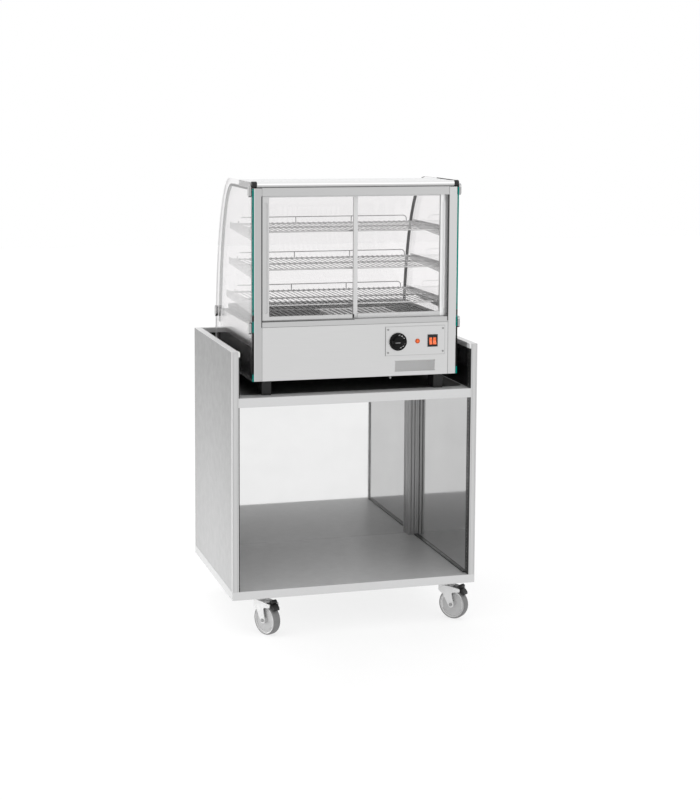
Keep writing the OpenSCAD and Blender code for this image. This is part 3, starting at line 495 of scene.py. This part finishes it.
def dress(node, finishes, radius=0.0006, segments=2, rule=None, sharp=32):
    """Round and finish a copy of a solid. The rule says which finish a face takes."""
    finishes = finishes if isinstance(finishes, list) else [finishes]
    mesh = frame["nodes"][node].data.copy()
    mesh.materials.clear()
    for f in finishes:
        mesh.materials.append(f)
    bm = bmesh.new()
    bm.from_mesh(mesh)
    bmesh.ops.remove_doubles(bm, verts=bm.verts, dist=WELD_DISTANCE)
    bmesh.ops.dissolve_limit(bm, angle_limit=FLAT_ANGLE, verts=bm.verts, edges=bm.edges)
    for face in bm.faces:
        face.smooth = True
        face.material_index = rule(face.calc_center_median(), face.normal) if rule else 0
    bm.to_mesh(mesh)
    bm.free()
    mesh.set_sharp_from_angle(angle=math.radians(sharp))
    obj = shown(node + "_dressed", mesh)
    if radius:
        bevel = obj.modifiers.new("rounded", "BEVEL")
        bevel.limit_method, bevel.angle_limit = "ANGLE", math.radians(sharp)
        bevel.width, bevel.segments = radius, segments
        bevel.use_clamp_overlap, bevel.harden_normals = True, True
        bpy.context.view_layer.update()
        settle(obj)
    return finished(obj, node)


def block(name, low, high, finish, radius, body):
    """A small rounded block between two corners."""
    bm = bmesh.new()
    bmesh.ops.create_cube(bm, size=1)
    middle, span = (Vector(low) + Vector(high)) / 2, Vector(high) - Vector(low)
    for v in bm.verts:
        v.co = Vector([m + c * s for m, c, s in zip(middle, v.co, span)])
    bmesh.ops.bevel(bm, geom=bm.edges[:], offset=radius, segments=3, profile=0.5, affect="EDGES")
    for face in bm.faces:
        face.smooth = True
    mesh = as_mesh(bm, name)
    mesh.set_sharp_from_angle(angle=math.radians(40))
    mesh.materials.append(finish)
    return finished(shown(name, mesh), None, body)


print("helpers ready")

# %% [markdown]
# ## Boards, linings and profiles
# The boards get a radius of about a millimetre, as an edge-banding machine leaves. Their front and top
# edges are separate bands, painted paler than the faces as painted light. The linings are thin folded
# sheets, so they keep their plain corners.

# %% The counter's boards
def front_band(centre, normal):
    return 1 if normal.y < -0.9 else 0


def top_band(centre, normal):
    return 1 if normal.z > 0.9 else 0


dress("base_deck", [board, lit_band], 0.0010, 3, front_band)
dress("upper_shelf", [shelf_board, lit_band], 0.0010, 3, front_band)
for node in ("side_panel_left", "side_panel_right"):
    dress(node, [shaded_side_board, lit_top_edge], 0.0008, 3, top_band)
dress("customer_panel", board, 0.0008, 3)
print("boards dressed")

# %% Linings, profiles and trims
HOLE_LINE, HOLE_PITCH, HOLE_RADIUS = -0.289, 0.0125, 0.002


def lining_faces(centre, normal):
    return 1 if abs(normal.x) > 0.7 else 0


def punched_black():
    """Black strip with a row of small punched holes at an even pitch."""
    f = Finish("punched_black_strip")
    _, y, z = f.axes()
    across = y - HOLE_LINE
    up = (z / HOLE_PITCH).wrap(0, 1) * HOLE_PITCH - HOLE_PITCH / 2
    hole = across * across + up * up < HOLE_RADIUS ** 2
    return f.drive(Base_Color=f.blend(hole, grey(0.012), grey(0.22)),
                   Roughness=f.spread(f.noise(50, 2), 0.28, 0.42))


dress("bay_linings", [polished, polished_side], 0.0, rule=lining_faces, sharp=5)
dress("recess_linings", black_gloss, 0.0, sharp=5)
dress("edge_profiles", anodised, 0.0004, 2)
dress("corner_posts", slotted, 0.0005, 2)
dress("rim_profiles", anodised, 0.0004, 2)
dress("rim_end_caps", white, 0.0008, 3)
dress("trim_strips", punched_black(), 0.0003, 1)
print("linings and trims dressed")

# %% [markdown]
# ## The display's steel frame
# The housing, the fascia and the door frame are folded and extruded metal. Their streaks follow the
# length of each part, as the rolling direction does. The vent holes are already cut in the fascia.
# Hairline seams, borders, and painted light, shade and reflections that change along a part are drawn
# in the finish, by masks that compare a point's place with the edges of the solids.

# %% Seams, painted light and shade that are drawn in the finish
POST_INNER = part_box("fascia_panel")[1].x
SILL_LOW, SILL_HIGH = (corner.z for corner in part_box("sill_track"))
HEADER_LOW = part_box("header_rail")[0].z
PLATE_LOW, PLATE_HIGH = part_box("control_plate")
TUBE_LOW, TUBE_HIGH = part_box("roof_tube")
SIDE_SEAM, SILL_SEAM, RAIL_SEAM, PLATE_RIM = 0.0010, 0.0008, 0.0008, 0.0012
# Painted light on the posts starts at LEFT_POST_RIM, and the left gap's painted shadow is this wide.
LEFT_POST_RIM, GAP_SHADOW_WIDTH = -0.3335, 0.0024
# The painted shadow under the front door, and a dark patch at the sill's right end.
DARK_BELOW, DARK_ABOVE, FRONT_DOOR_END = 0.0012, 0.0010, -0.006
END_MARK_LIFT, END_MARK_WIDTH = 0.004, 0.0035
LIT_FROM, REAR_STILE = 0.02, 0.288
# Where the heated floor's painted bright reflection lies.
REFLECTION_LEFT, REFLECTION_RIGHT, REFLECTION_REAR = -0.065, 0.182, -0.02


def fascia_seams(f, colour):
    x, _, z = f.axes()
    seam = (x.size() > POST_INNER - SIDE_SEAM) + (z > SILL_LOW - SILL_SEAM) > 0.5
    return f.blend(seam, colour, grey(0.16))


def plate_border(f, colour):
    """A dark rim around the plate, fainter on its left."""
    x, _, z = f.axes()
    middle, inner = (PLATE_LOW + PLATE_HIGH) / 2, (PLATE_HIGH - PLATE_LOW) / 2
    across, up = (x - middle.x).size(), (z - middle.z).size()
    rim = (across > inner.x - PLATE_RIM) + (up > inner.z - PLATE_RIM) > 0.5
    return f.blend(rim, colour, f.blend(x < PLATE_LOW.x + PLATE_RIM, grey(0.40), grey(0.16)))


def post_lines(f, colour):
    """Painted light makes the right post and the left one's outer edge paler. Painted shadow fills the left
    gap.
    """
    x, _, z = f.axes()
    pale = f.blend((x < LEFT_POST_RIM) + (x > 0) > 0.5, colour, grey(0.57))
    gap_shadow = within(x, -POST_INNER - GAP_SHADOW_WIDTH, -POST_INNER) * within(z, SILL_LOW, HEADER_LOW)
    return f.blend(gap_shadow, pale, grey(0.03))


def rail_ends(f, colour):
    """Hairlines where a rail meets the posts, a painted shadow under the front door, and a dark patch at the
    right.
    """
    x, _, z = f.axes()
    ends = x.size() > POST_INNER - RAIL_SEAM
    door_shadow = within(z, SILL_HIGH - DARK_BELOW, SILL_HIGH + DARK_ABOVE) * (x < FRONT_DOOR_END)
    end_mark = within(z, SILL_LOW + END_MARK_LIFT, SILL_HIGH + DARK_ABOVE)
    end_mark = end_mark * (x > POST_INNER - END_MARK_WIDTH)
    return f.blend(ends + door_shadow + end_mark > 0.5, colour, grey(0.07))


def lit_inside(f, colour):
    """The housing's inside is bright on the right, where the room's light falls in."""
    return f.blend(f.axes()[0] > LIT_FROM, colour, grey(0.78))


def stile_painted_light(f, colour):
    """The rear door's outer stile sits in the post's shade, so it is painted paler there, as painted light.
    """
    return f.blend(f.axes()[0] > REAR_STILE, colour, grey(0.92))


def floor_painted_reflection(f, colour):
    """Painted reflection: the heated floor is painted bright in the middle of its front half, dark around it.
    """
    x, y, _ = f.axes()
    bright = within(x, REFLECTION_LEFT, REFLECTION_RIGHT) * (y < REFLECTION_REAR)
    return f.blend(bright, colour, grey(0.90))


def tube_enamel_painted_light():
    """Enamel with painted shade on the tube's underside and a painted highlight halfway up."""
    f = Finish("tube_enamel_painted_light", Roughness=0.25)
    height = (f.axes()[2] - TUBE_LOW.z) / (TUBE_HIGH.z - TUBE_LOW.z)
    shaded = f.blend((height - 0.10) * 2.0, grey(0.38), grey(0.74))
    return f.drive(Base_Color=f.blend(within(height, 0.50, 0.68), shaded, grey(0.95)),
                   Normal=f.bump(f.noise(2600, 2), 0.02, 0.0001))


fascia_steel = brushed("fascia_steel", 0.60, 0.34, ALONG_X, 0.02, 0.75, shade=fascia_seams)
plate_steel = brushed("control_plate_steel", 0.60, 0.34, ALONG_X, 0.02, 0.75, shade=plate_border)
post_alloy = brushed("anodised_post", 0.47, 0.36, ALONG_Z, 0.02, 0.6, shade=post_lines)
# Painted shade: a darker copy of the anodising for the posts' outer sides.
shaded_post_side = brushed("shaded_anodised_post_side", 0.10, 0.60, ALONG_Z, 0.02, 0.2)
rail_alloy = brushed("anodised_rail", 0.50, 0.36, ALONG_RAIL, 0.02, 0.6, shade=rail_ends)
# Painted shade: the housing's inside is painted nearly black, with painted light on its right.
shaded_steel_inside = brushed("housing_inside", 0.03, 0.60, ALONG_X, 0.05, 0.2, shade=lit_inside)
# Painted light: the rear door's frame is a paler copy of the anodising, paler still at its outer stile.
lit_rear_alloy = brushed("lit_anodised_rear_door", 0.62, 0.36, ALONG_Z, 0.02, 0.6, shade=stile_painted_light)
steel_floor = brushed("heated_floor_steel", 0.08, 0.55, ALONG_Y, 0.12, 0.3, shade=floor_painted_reflection)
print("finishes:", len(bpy.data.materials))

# %% Housing, fascia and frame
SIDE_WALL, TRAY_LEVEL = 0.33, 0.84
SLOT_EDGE, SLOT_FOOT, SLOT_REAR = 0.312, 1.0, -0.26


def housing_faces(centre, normal):
    """The front and the tray's top take the inside's painted shade, the side walls that of bright steel."""
    tray = abs(centre.x) < SIDE_WALL and centre.z > TRAY_LEVEL and normal.z > 0.9
    if normal.y < -0.9 or tray:
        return 2
    return 1 if abs(normal.x) > 0.9 else 0


def post_faces(centre, normal):
    """A post's outer side is dull and painted dark, and the slot by the door painted black, as shade."""
    if abs(normal.x) < 0.9:
        return 0
    if abs(centre.x) > SIDE_WALL:
        return 2
    in_slot = abs(centre.x) > SLOT_EDGE and centre.z > SLOT_FOOT and centre.y < SLOT_REAR
    return 1 if in_slot else 0


def roof_faces(centre, normal):
    return 0 if normal.z > 0.5 else 1


dress("display_housing", [steel, steel_side, shaded_steel_inside], 0.0008, 3, housing_faces)
dress("fascia_panel", fascia_steel, 0.0003, 1)
dress("control_plate", plate_steel, 0.0005, 2)
dress("door_posts", [post_alloy, black, shaded_post_side], 0.0009, 3, post_faces)
dress("header_rail", rail_alloy, 0.0007, 3)
dress("sill_track", rail_alloy, 0.0007, 3)
dress("roof_panel", [roof_enamel, roof_side], 0.0010, 3, roof_faces)
dress("roof_tube", tube_enamel_painted_light(), 0.0)
dress("roof_end_caps", black, 0.0012, 3)
dress("display_feet", black, 0.0015, 3)
dress("floor_grille", steel_floor, 0.0003, 1)
dress("bonding_screw", dull_screw, 0.0003, 1)
dress("cable_gland", gland_grey, 0.0006, 2)
dress("thermostat", black, 0.0006, 2)
print("display frame dressed")

# %% [markdown]
# ## Glass and seals
# A pane's broad faces are clear, and its narrow cut edges have finishes of their own: deep green at the
# side panes' front edges, ground and painted pale where the light reaches an edge, as painted light, and
# painted grey where it doesn't, as painted shade.
# Black rubber seals run along the curved glass. The clips that hold the side panes are plated, each
# with a thin black pad.

# %% Panes
def door_pane_faces(centre, normal):
    return 0 if abs(normal.y) > 0.7 else 1


def side_pane_faces(centre, normal):
    """The front edge is green, the lower one and the right pane's top are painted dark, the rest painted pale
    as lit.
    """
    if abs(normal.x) > 0.7:
        return 0
    if normal.y < -0.9:
        return 1
    return 3 if normal.z < -0.7 or centre.x > 0 and normal.z > 0.7 else 2


def curved_faces(centre, normal):
    return 1 if abs(normal.x) > 0.5 or normal.z < -0.95 and centre.z < 1.0 else 0


for node in ("side_glass_left", "side_glass_right"):
    dress(node, [side_glass, glass_edge, lit_pale_edge, shaded_edge], 0.0005, 1, side_pane_faces, 25)
for node in ("door_left_glass", "door_right_glass"):
    dress(node, [door_glass, lit_pale_edge], 0.0003, 1, door_pane_faces)
dress("curved_glass", [clear_glass, lit_pale_edge], 0.0003, 1, curved_faces, 40)
print("panes dressed")

# %% Seals and clips
PAD_OUTER = 0.3446


def clip_faces(centre, normal):
    return 1 if abs(centre.x) < PAD_OUTER else 0


dress("glass_seals", gasket, 0.0008, 2, sharp=40)
dress("glass_clips", [chrome, black], 0.0012, 3, clip_faces)
print("glass and seals dressed")

# %% [markdown]
# ## The sliding doors
# Each door is a pane in a light frame with one wide stile. The front door's bottom rail ends in a small
# black plug, and the rear door's pane ends in a glassy strip that closes the gap between the two.
# Black strips at the posts are painted shadow, for the shaded gaps there. A thin black strip on the
# roof's right end is a painted reflection of a dark line in the glass.

# %% Doors
PANE_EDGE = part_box("door_right_glass")[0].x


def rear_door_faces(centre, normal):
    """The strip stands left of the pane. Its narrow edge is dull and its broad faces are glassy."""
    if centre.x > PANE_EDGE + 0.0002 or abs(normal.z) > 0.5:
        return 0
    return 2 if normal.x < -0.5 else 1


dress("door_left_frame", anodised, 0.0006, 2)
dress("door_right_frame", [lit_rear_alloy, strip_glass, strip_edge], 0.0006, 2, rear_door_faces)

PLUG_WIDTH, RAIL_LIFT, RAIL_HEIGHT, PROUD = 0.005, 0.004, 0.0115, 0.0003
door_low, door_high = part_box("door_left_frame")
rail_foot = SILL_HIGH + RAIL_LIFT
block("door_left_plug", (door_high.x - PLUG_WIDTH, door_low.y - PROUD, rail_foot),
      (door_high.x + 2 * PROUD, door_high.y, rail_foot + RAIL_HEIGHT + PROUD),
      black, 0.0003, "door_left")

# Painted shadow: black strips fill the gaps beside the posts, where the grooves lie in shade.
GAP_SHADOW_FRONT, GAP_SHADOW_DEPTH, RIGHT_GAP_SHADOW, LEFT_GAP_SHADOW = 0.0010, 0.0023, 0.0048, 0.0014
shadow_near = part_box("door_posts")[0].y + GAP_SHADOW_FRONT
shadow_far = shadow_near + GAP_SHADOW_DEPTH
for name, low_x, high_x in (("right_gap_shadow", POST_INNER - RIGHT_GAP_SHADOW, POST_INNER),
                            ("left_gap_shadow", -POST_INNER, -POST_INNER + LEFT_GAP_SHADOW)):
    block(name, (low_x, shadow_near, SILL_HIGH), (high_x, shadow_far, HEADER_LOW),
          gasket, 0.0003, "counter")

# Painted reflection: a thin black strip on the roof's right end stands for a dark line that the glass
# reflects.
DARK_LINE_LEFT, DARK_LINE_RIGHT, DARK_LINE_SHORT, DARK_LINE_SUNK, DARK_LINE_RISE = 0.0032, 0.0002, 0.020, 0.0004, 0.0026
roof_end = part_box("roof_panel")[1]
cap_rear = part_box("roof_end_caps")[1].y
block("roof_dark_reflection_right", (roof_end.x - DARK_LINE_LEFT, cap_rear, roof_end.z - DARK_LINE_SUNK),
      (roof_end.x - DARK_LINE_RIGHT, roof_end.y - DARK_LINE_SHORT, roof_end.z + DARK_LINE_RISE),
      black, 0.0006, "counter")
print("doors dressed")

# %% [markdown]
# ## Wire shelves with Geometry Nodes
# A shelf is a row of thin wires welded across three thicker bearers. Geometry Nodes suit such a row: a
# line of points is made, a straight curve is set on each point, and Curve to Mesh gives it a round
# section. The same recipe, with other inputs, makes all three shelves.

# %% A helper for node recipes
class Recipe:
    """A Geometry Nodes tree with named number inputs."""

    def __init__(self, name, **inputs):
        self.tree = bpy.data.node_groups.new(name, "GeometryNodeTree")
        self.ids = {}
        sockets = self.tree.interface
        for key, value in inputs.items():
            kind = "NodeSocketInt" if isinstance(value, int) else "NodeSocketFloat"
            socket = sockets.new_socket(key, in_out="INPUT", socket_type=kind)
            socket.default_value = value
            self.ids[key] = socket.identifier
        sockets.new_socket("Geometry", in_out="OUTPUT", socket_type="NodeSocketGeometry")
        self.start = self.tree.nodes.new("NodeGroupInput")
        self.end = self.tree.nodes.new("NodeGroupOutput")

    def add(self, kind, settings, values, output=0):
        node = self.tree.nodes.new(kind)
        for key, value in settings.items():
            setattr(node, key, value)
        for key, value in values.items():
            for item in value if isinstance(value, list) else [value]:
                if hasattr(item, "is_linked"):
                    self.tree.links.new(item, node.inputs[key])
                else:
                    node.inputs[key].default_value = item
        return node.outputs[output]

    def given(self, key):
        return self.start.outputs[key]

    def point(self, x=0.0, y=0.0, z=0.0):
        return self.add("ShaderNodeCombineXYZ", {}, {"X": x, "Y": y, "Z": z})

    def maths(self, operation, *terms):
        return self.add("ShaderNodeMath", {"operation": operation}, dict(enumerate(terms)))

    def times(self, a, b):
        return self.maths("MULTIPLY", a, b)

    def tube(self, curve, sides, radius):
        """Give a curve a round section with closed ends."""
        section = self.add("GeometryNodeCurvePrimitiveCircle", {}, {"Resolution": sides, "Radius": radius})
        return self.add("GeometryNodeCurveToMesh", {}, {"Curve": curve, "Fill Caps": True,
                                                        "Profile Curve": section})

    def close(self, *parts):
        """End the tree. Each part is a geometry and its finish."""
        painted = []
        for geometry, finish in parts:
            real = self.add("GeometryNodeRealizeInstances", {}, {0: geometry})
            smooth = self.add("GeometryNodeSetShadeSmooth", {}, {0: real})
            painted.append(self.add("GeometryNodeSetMaterial", {}, {0: smooth, "Material": finish}))
        self.tree.links.new(self.add("GeometryNodeJoinGeometry", {}, {0: painted}), self.end.inputs[0])


def grow(name, recipe, **values):
    """Run a recipe and return its result as a plain mesh object."""
    obj = shown(name, bpy.data.meshes.new(name))
    modifier = obj.modifiers.new("recipe", "NODES")
    modifier.node_group = recipe.tree
    for key, value in values.items():
        modifier[recipe.ids[key]] = value
    bpy.context.view_layer.update()
    return settle(obj)


def joined(name, parts):
    """Make one object of several."""
    bm = bmesh.new()
    for part in parts:
        bm.from_mesh(part.data)
    mesh = as_mesh(bm, name)
    for f in parts[0].data.materials:
        mesh.materials.append(f)
    for part in parts:
        bpy.data.objects.remove(part)
    return shown(name, mesh)


print("recipes ready")

# %% The shelf recipe
WIRE_SEAT, BEARER_SPREAD, BEARER_INSET = 1.7, 0.485, 0.003
SHELF_GAP = 0.006


def shelf_recipe():
    r = Recipe("wire_shelf", Half=0.32, Near=0.0, Far=0.4, Level=1.0, Pitch=0.018, Count=35,
               Thin=0.0015, Thick=0.0028)
    length = r.maths("SUBTRACT", r.given("Far"), r.given("Near"))
    steps = r.maths("SUBTRACT", r.given("Count"), 1.0)
    first = r.times(r.times(r.given("Pitch"), steps), -0.5)
    lift = r.maths("MULTIPLY_ADD", r.given("Thin"), WIRE_SEAT, r.given("Level"))
    row = r.add("GeometryNodeMeshLine", {}, {
        "Count": r.given("Count"), "Start Location": r.point(first, r.given("Near"), lift),
        "Offset": r.point(r.given("Pitch"))})
    wire = r.add("GeometryNodeCurvePrimitiveLine", {}, {"End": r.point(0.0, length)})
    wires = r.add("GeometryNodeInstanceOnPoints", {}, {"Points": row, "Instance": wire})
    near = r.maths("ADD", r.given("Near"), BEARER_INSET)
    column = r.add("GeometryNodeMeshLine", {}, {
        "Count": 3, "Start Location": r.point(r.times(r.given("Half"), -1.0), near, r.given("Level")),
        "Offset": r.point(0.0, r.times(length, BEARER_SPREAD))})
    bar = r.add("GeometryNodeCurvePrimitiveLine", {}, {"End": r.point(r.times(r.given("Half"), 2.0))})
    bars = r.add("GeometryNodeInstanceOnPoints", {}, {"Points": column, "Instance": bar})
    r.close((r.tube(wires, 10, r.given("Thin")), plated), (r.tube(bars, 12, r.given("Thick")), plated_bright))
    return r


SHELF_LIFTS, FAR_ENDS = (0.045, 0.1605, 0.281), (0.1719, 0.1320, 0.1143)
shelf = shelf_recipe()
half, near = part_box("wire_shelves")[1].x, POST_REAR + SHELF_GAP
shelves = [grow("shelf_%d" % i, shelf, Half=half, Level=SILL_HIGH + lift, Near=near, Far=far)
           for i, (lift, far) in enumerate(zip(SHELF_LIFTS, FAR_ENDS))]
finished(joined("wire_shelves_round", shelves), "wire_shelves")
dress("guard_rails", plated, 0.0)
dress("shelf_brackets", bracket_steel, 0.0003, 1)
print("wire shelves grown")

# %% [markdown]
# ## The controls
# A black knob with a dial skirt, a round pilot lamp and a double rocker switch sit on a steel plate. The
# knob's cap has fine grip ribs, which Geometry Nodes set around a circle, and a pale pointer. The dial
# has plain numbers, which are printed in white and stand a few hundredths of a millimetre proud.

# %% Knob, lamp and switch
dress("thermostat_knob", knob_black, 0.0010, 3)
dress("pilot_lamp", red_lamp, 0.0006, 3)
dress("rocker_frame", black, 0.0008, 3)
dress("rocker_left", orange, 0.0005, 2)
dress("rocker_right", orange, 0.0005, 2)
dress("control_screws", dull_screw, 0.0003, 2)
print("controls dressed")

# %% Grip ribs around the knob's cap
SKIRT_GAP, SKIRT_THICK, CAP_FRONT = 0.0005, 0.00396, 0.005
RIB_RING, RIB_SHARE = 0.6, 0.9
UPRIGHT = (math.pi / 2, 0, 0)
knob_low, knob_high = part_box("thermostat_knob")
knob_x, knob_z = (knob_low.x + knob_high.x) / 2, (knob_low.z + knob_high.z) / 2
knob_r = (knob_high.x - knob_low.x) / 2
skirt_front = PLATE_LOW.y - SKIRT_GAP - SKIRT_THICK
cap_front = knob_low.y + CAP_FRONT


def rib_recipe():
    r = Recipe("grip_ribs", Radius=0.017, Depth=0.006, Front=0.0, X=0.0, Z=0.0, Count=36)
    ring = r.add("GeometryNodeMeshCircle", {}, {"Vertices": r.given("Count"), "Radius": r.given("Radius")})
    place = r.point(r.given("X"), r.given("Front"), r.given("Z"))
    upright = r.add("GeometryNodeTransform", {}, {0: ring, "Rotation": UPRIGHT, "Translation": place})
    rib = r.add("GeometryNodeMeshCylinder", {}, {
        "Vertices": 6, "Radius": 0.0006, "Depth": r.given("Depth")})
    lying = r.add("GeometryNodeTransform", {}, {0: rib, "Rotation": UPRIGHT})
    ribs = r.add("GeometryNodeInstanceOnPoints", {}, {"Points": upright, "Instance": lying})
    r.close((ribs, knob_black))
    return r


ribs = grow("knob_ribs", rib_recipe(), Radius=knob_r * RIB_RING,
            Depth=(skirt_front - cap_front) * RIB_SHARE,
            Front=(skirt_front + cap_front) / 2, X=knob_x, Z=knob_z)
finished(ribs, None, "knob")
print("ribs set")

# %% Numbers on the dial and the pointer
FIRST_NUMBER, NUMBER_STEP = 80, 24.5
NUMBER_RING, NUMBER_HEIGHT, PRINT_LIFT, PRINT_THICK = 0.73, 0.0058, 0.00003, 0.00004
POINTER_LEFT, POINTER_RIGHT, POINTER_PROUD = 0.48, 0.10, 0.0002
POINTER_LOW, POINTER_HIGH = 0.0020, 0.0010


def raised_text(name, words, size, place, thick, finish):
    """Flat printed lettering that faces the service side."""
    data = bpy.data.curves.new(name, "FONT")
    data.body, data.size, data.extrude = words, size, thick
    data.align_x, data.align_y = "CENTER", "CENTER"
    data.resolution_u = 3
    text = shown(name, data)
    bpy.context.view_layer.update()
    mesh = bpy.data.meshes.new_from_object(text.evaluated_get(bpy.context.evaluated_depsgraph_get()))
    mesh.transform(Matrix.Translation(place) @ Matrix.Rotation(math.pi / 2, 4, "X"))
    mesh.materials.append(finish)
    bpy.data.objects.remove(text)
    return shown(name, mesh)


marks = []
for i, mark in enumerate(("30", "40", "50", "60", "70", "80", "90")):
    turn = math.radians(FIRST_NUMBER - i * NUMBER_STEP)
    spot = Vector((knob_x + math.cos(turn) * knob_r * NUMBER_RING, skirt_front - PRINT_LIFT,
                   knob_z + math.sin(turn) * knob_r * NUMBER_RING))
    marks.append(raised_text("mark_%d" % i, mark, NUMBER_HEIGHT, spot, PRINT_THICK, white_print))
finished(joined("dial_numbers", marks), None, "knob")
block("knob_pointer",
      (knob_x - knob_r * POINTER_LEFT, knob_low.y - POINTER_PROUD, knob_z - POINTER_LOW),
      (knob_x + knob_r * POINTER_RIGHT, knob_low.y + POINTER_PROUD, knob_z - POINTER_HIGH),
      trim_grey, 0.0001, "knob")
print("dial printed")

# %% [markdown]
# ## Casters
# A swivel caster has a plate, a fork of pressed steel and a grey wheel on an axle bolt. The front pair
# also has a black brake pedal. The fork is bent from thick sheet, so its edges get a clear radius. The
# wheel's hub has a paler ring around its centre. A face's distance from the wheel's joint tells ring
# from centre, and its distance along the axle tells the bolt's head from the fork's cheek.

# %% Casters
joint_of = {joint["name"]: joint for joint in behaviour["joints"]}
CHEEK, RING_RADIUS = 0.0212, 0.0385


def ring_rule(corner):
    centre = Vector(joint_of["wheel_" + corner + "_roll"]["pos_m"])
    return lambda c, n: 1 if (Vector(c) - centre).length > RING_RADIUS else 0


def bolt_rule(corner):
    roll = joint_of["wheel_" + corner + "_roll"]
    centre, axle = Vector(roll["pos_m"]), Vector(roll["axis"])
    return lambda c, n: 1 if abs((Vector(c) - centre).dot(axle)) > CHEEK else 0


dress("caster_plates", zinc, 0.0006, 2)
dress("caster_bolts", dull_screw, 0.0004, 2)
for corner in ("front_left", "front_right", "rear_left", "rear_right"):
    dress("fork_" + corner, [zinc, dull_screw], 0.0008, 3, bolt_rule(corner))
    dress("tyre_" + corner, tyre_rubber, 0.0006, 2)
    dress("hub_" + corner, [hub_plastic, hub_ring], 0.0006, 2, ring_rule(corner))
for corner in ("front_left", "front_right"):
    dress("pedal_" + corner, black, 0.0012, 3)
print("casters dressed")

# %% [markdown]
# ## Floor and light
# The sky is white, so that the light is as soft as in a white tent. The floor is a pale sheet that
# glows weakly, and with a wide, weak sun from above it reaches the sky's white and keeps only a faint
# shadow. Three soft lamps shape the counter: a large key lamp in front and to the right, a weaker fill
# lamp in front and to the left, and a small low one beside the left panel.

# %% Studio
WHITE, SKY_GLOW, FLOOR_GLOW, FLOOR_REACH = (1, 1, 1, 1), 1.0, 0.72, 14
SUN_POWER, SUN_SPREAD, SUN_HEIGHT = 0.35, math.radians(120), 4

bm = bmesh.new()
bmesh.ops.create_grid(bm, x_segments=1, y_segments=1, size=FLOOR_REACH)
floor_mesh = as_mesh(bm, "floor")
floor_paint = Finish("pale_floor", Specular_IOR_Level=0.1, Roughness=0.9,
                     Emission_Color=WHITE, Emission_Strength=FLOOR_GLOW)
floor_paint.drive(Base_Color=floor_paint.blend(floor_paint.spread(floor_paint.noise(2, 2), 0, 1),
                                               grey(0.26), grey(0.28)))
floor_mesh.materials.append(floor_paint.material)
floor = shown("floor", floor_mesh)

world = bpy.data.worlds.new("studio")
world.use_nodes = True
world.node_tree.nodes["Background"].inputs["Color"].default_value = WHITE
world.node_tree.nodes["Background"].inputs["Strength"].default_value = SKY_GLOW
bpy.context.scene.world = world
bpy.context.scene.view_settings.view_transform = "Standard"


def softbox(name, place, aim, size, power):
    """A square lamp of a given size, in metres, turned to face a point."""
    data = bpy.data.lights.new(name, "AREA")
    data.shape, data.size, data.energy = "SQUARE", size, power
    lamp = shown(name, data)
    lamp.location = place
    lamp.rotation_euler = (Vector(aim) - Vector(place)).to_track_quat("-Z", "Y").to_euler()


softbox("key", (2.4, -4.2, 2.6), (0, 0, 0.8), 2.0, 12)
softbox("fill", (-2.4, -4.2, 1.0), (-0.2, -0.3, 0.7), 1.6, 7)
softbox("left_low", (-1.21, 0, 0.28), (-0.41, 0, 0.28), 0.7, 6)
sun_data = bpy.data.lights.new("top_light", "SUN")
sun_data.energy, sun_data.angle = SUN_POWER, SUN_SPREAD
sun = shown("top_light", sun_data)
sun.location = (0, 0, SUN_HEIGHT)
print("studio set")
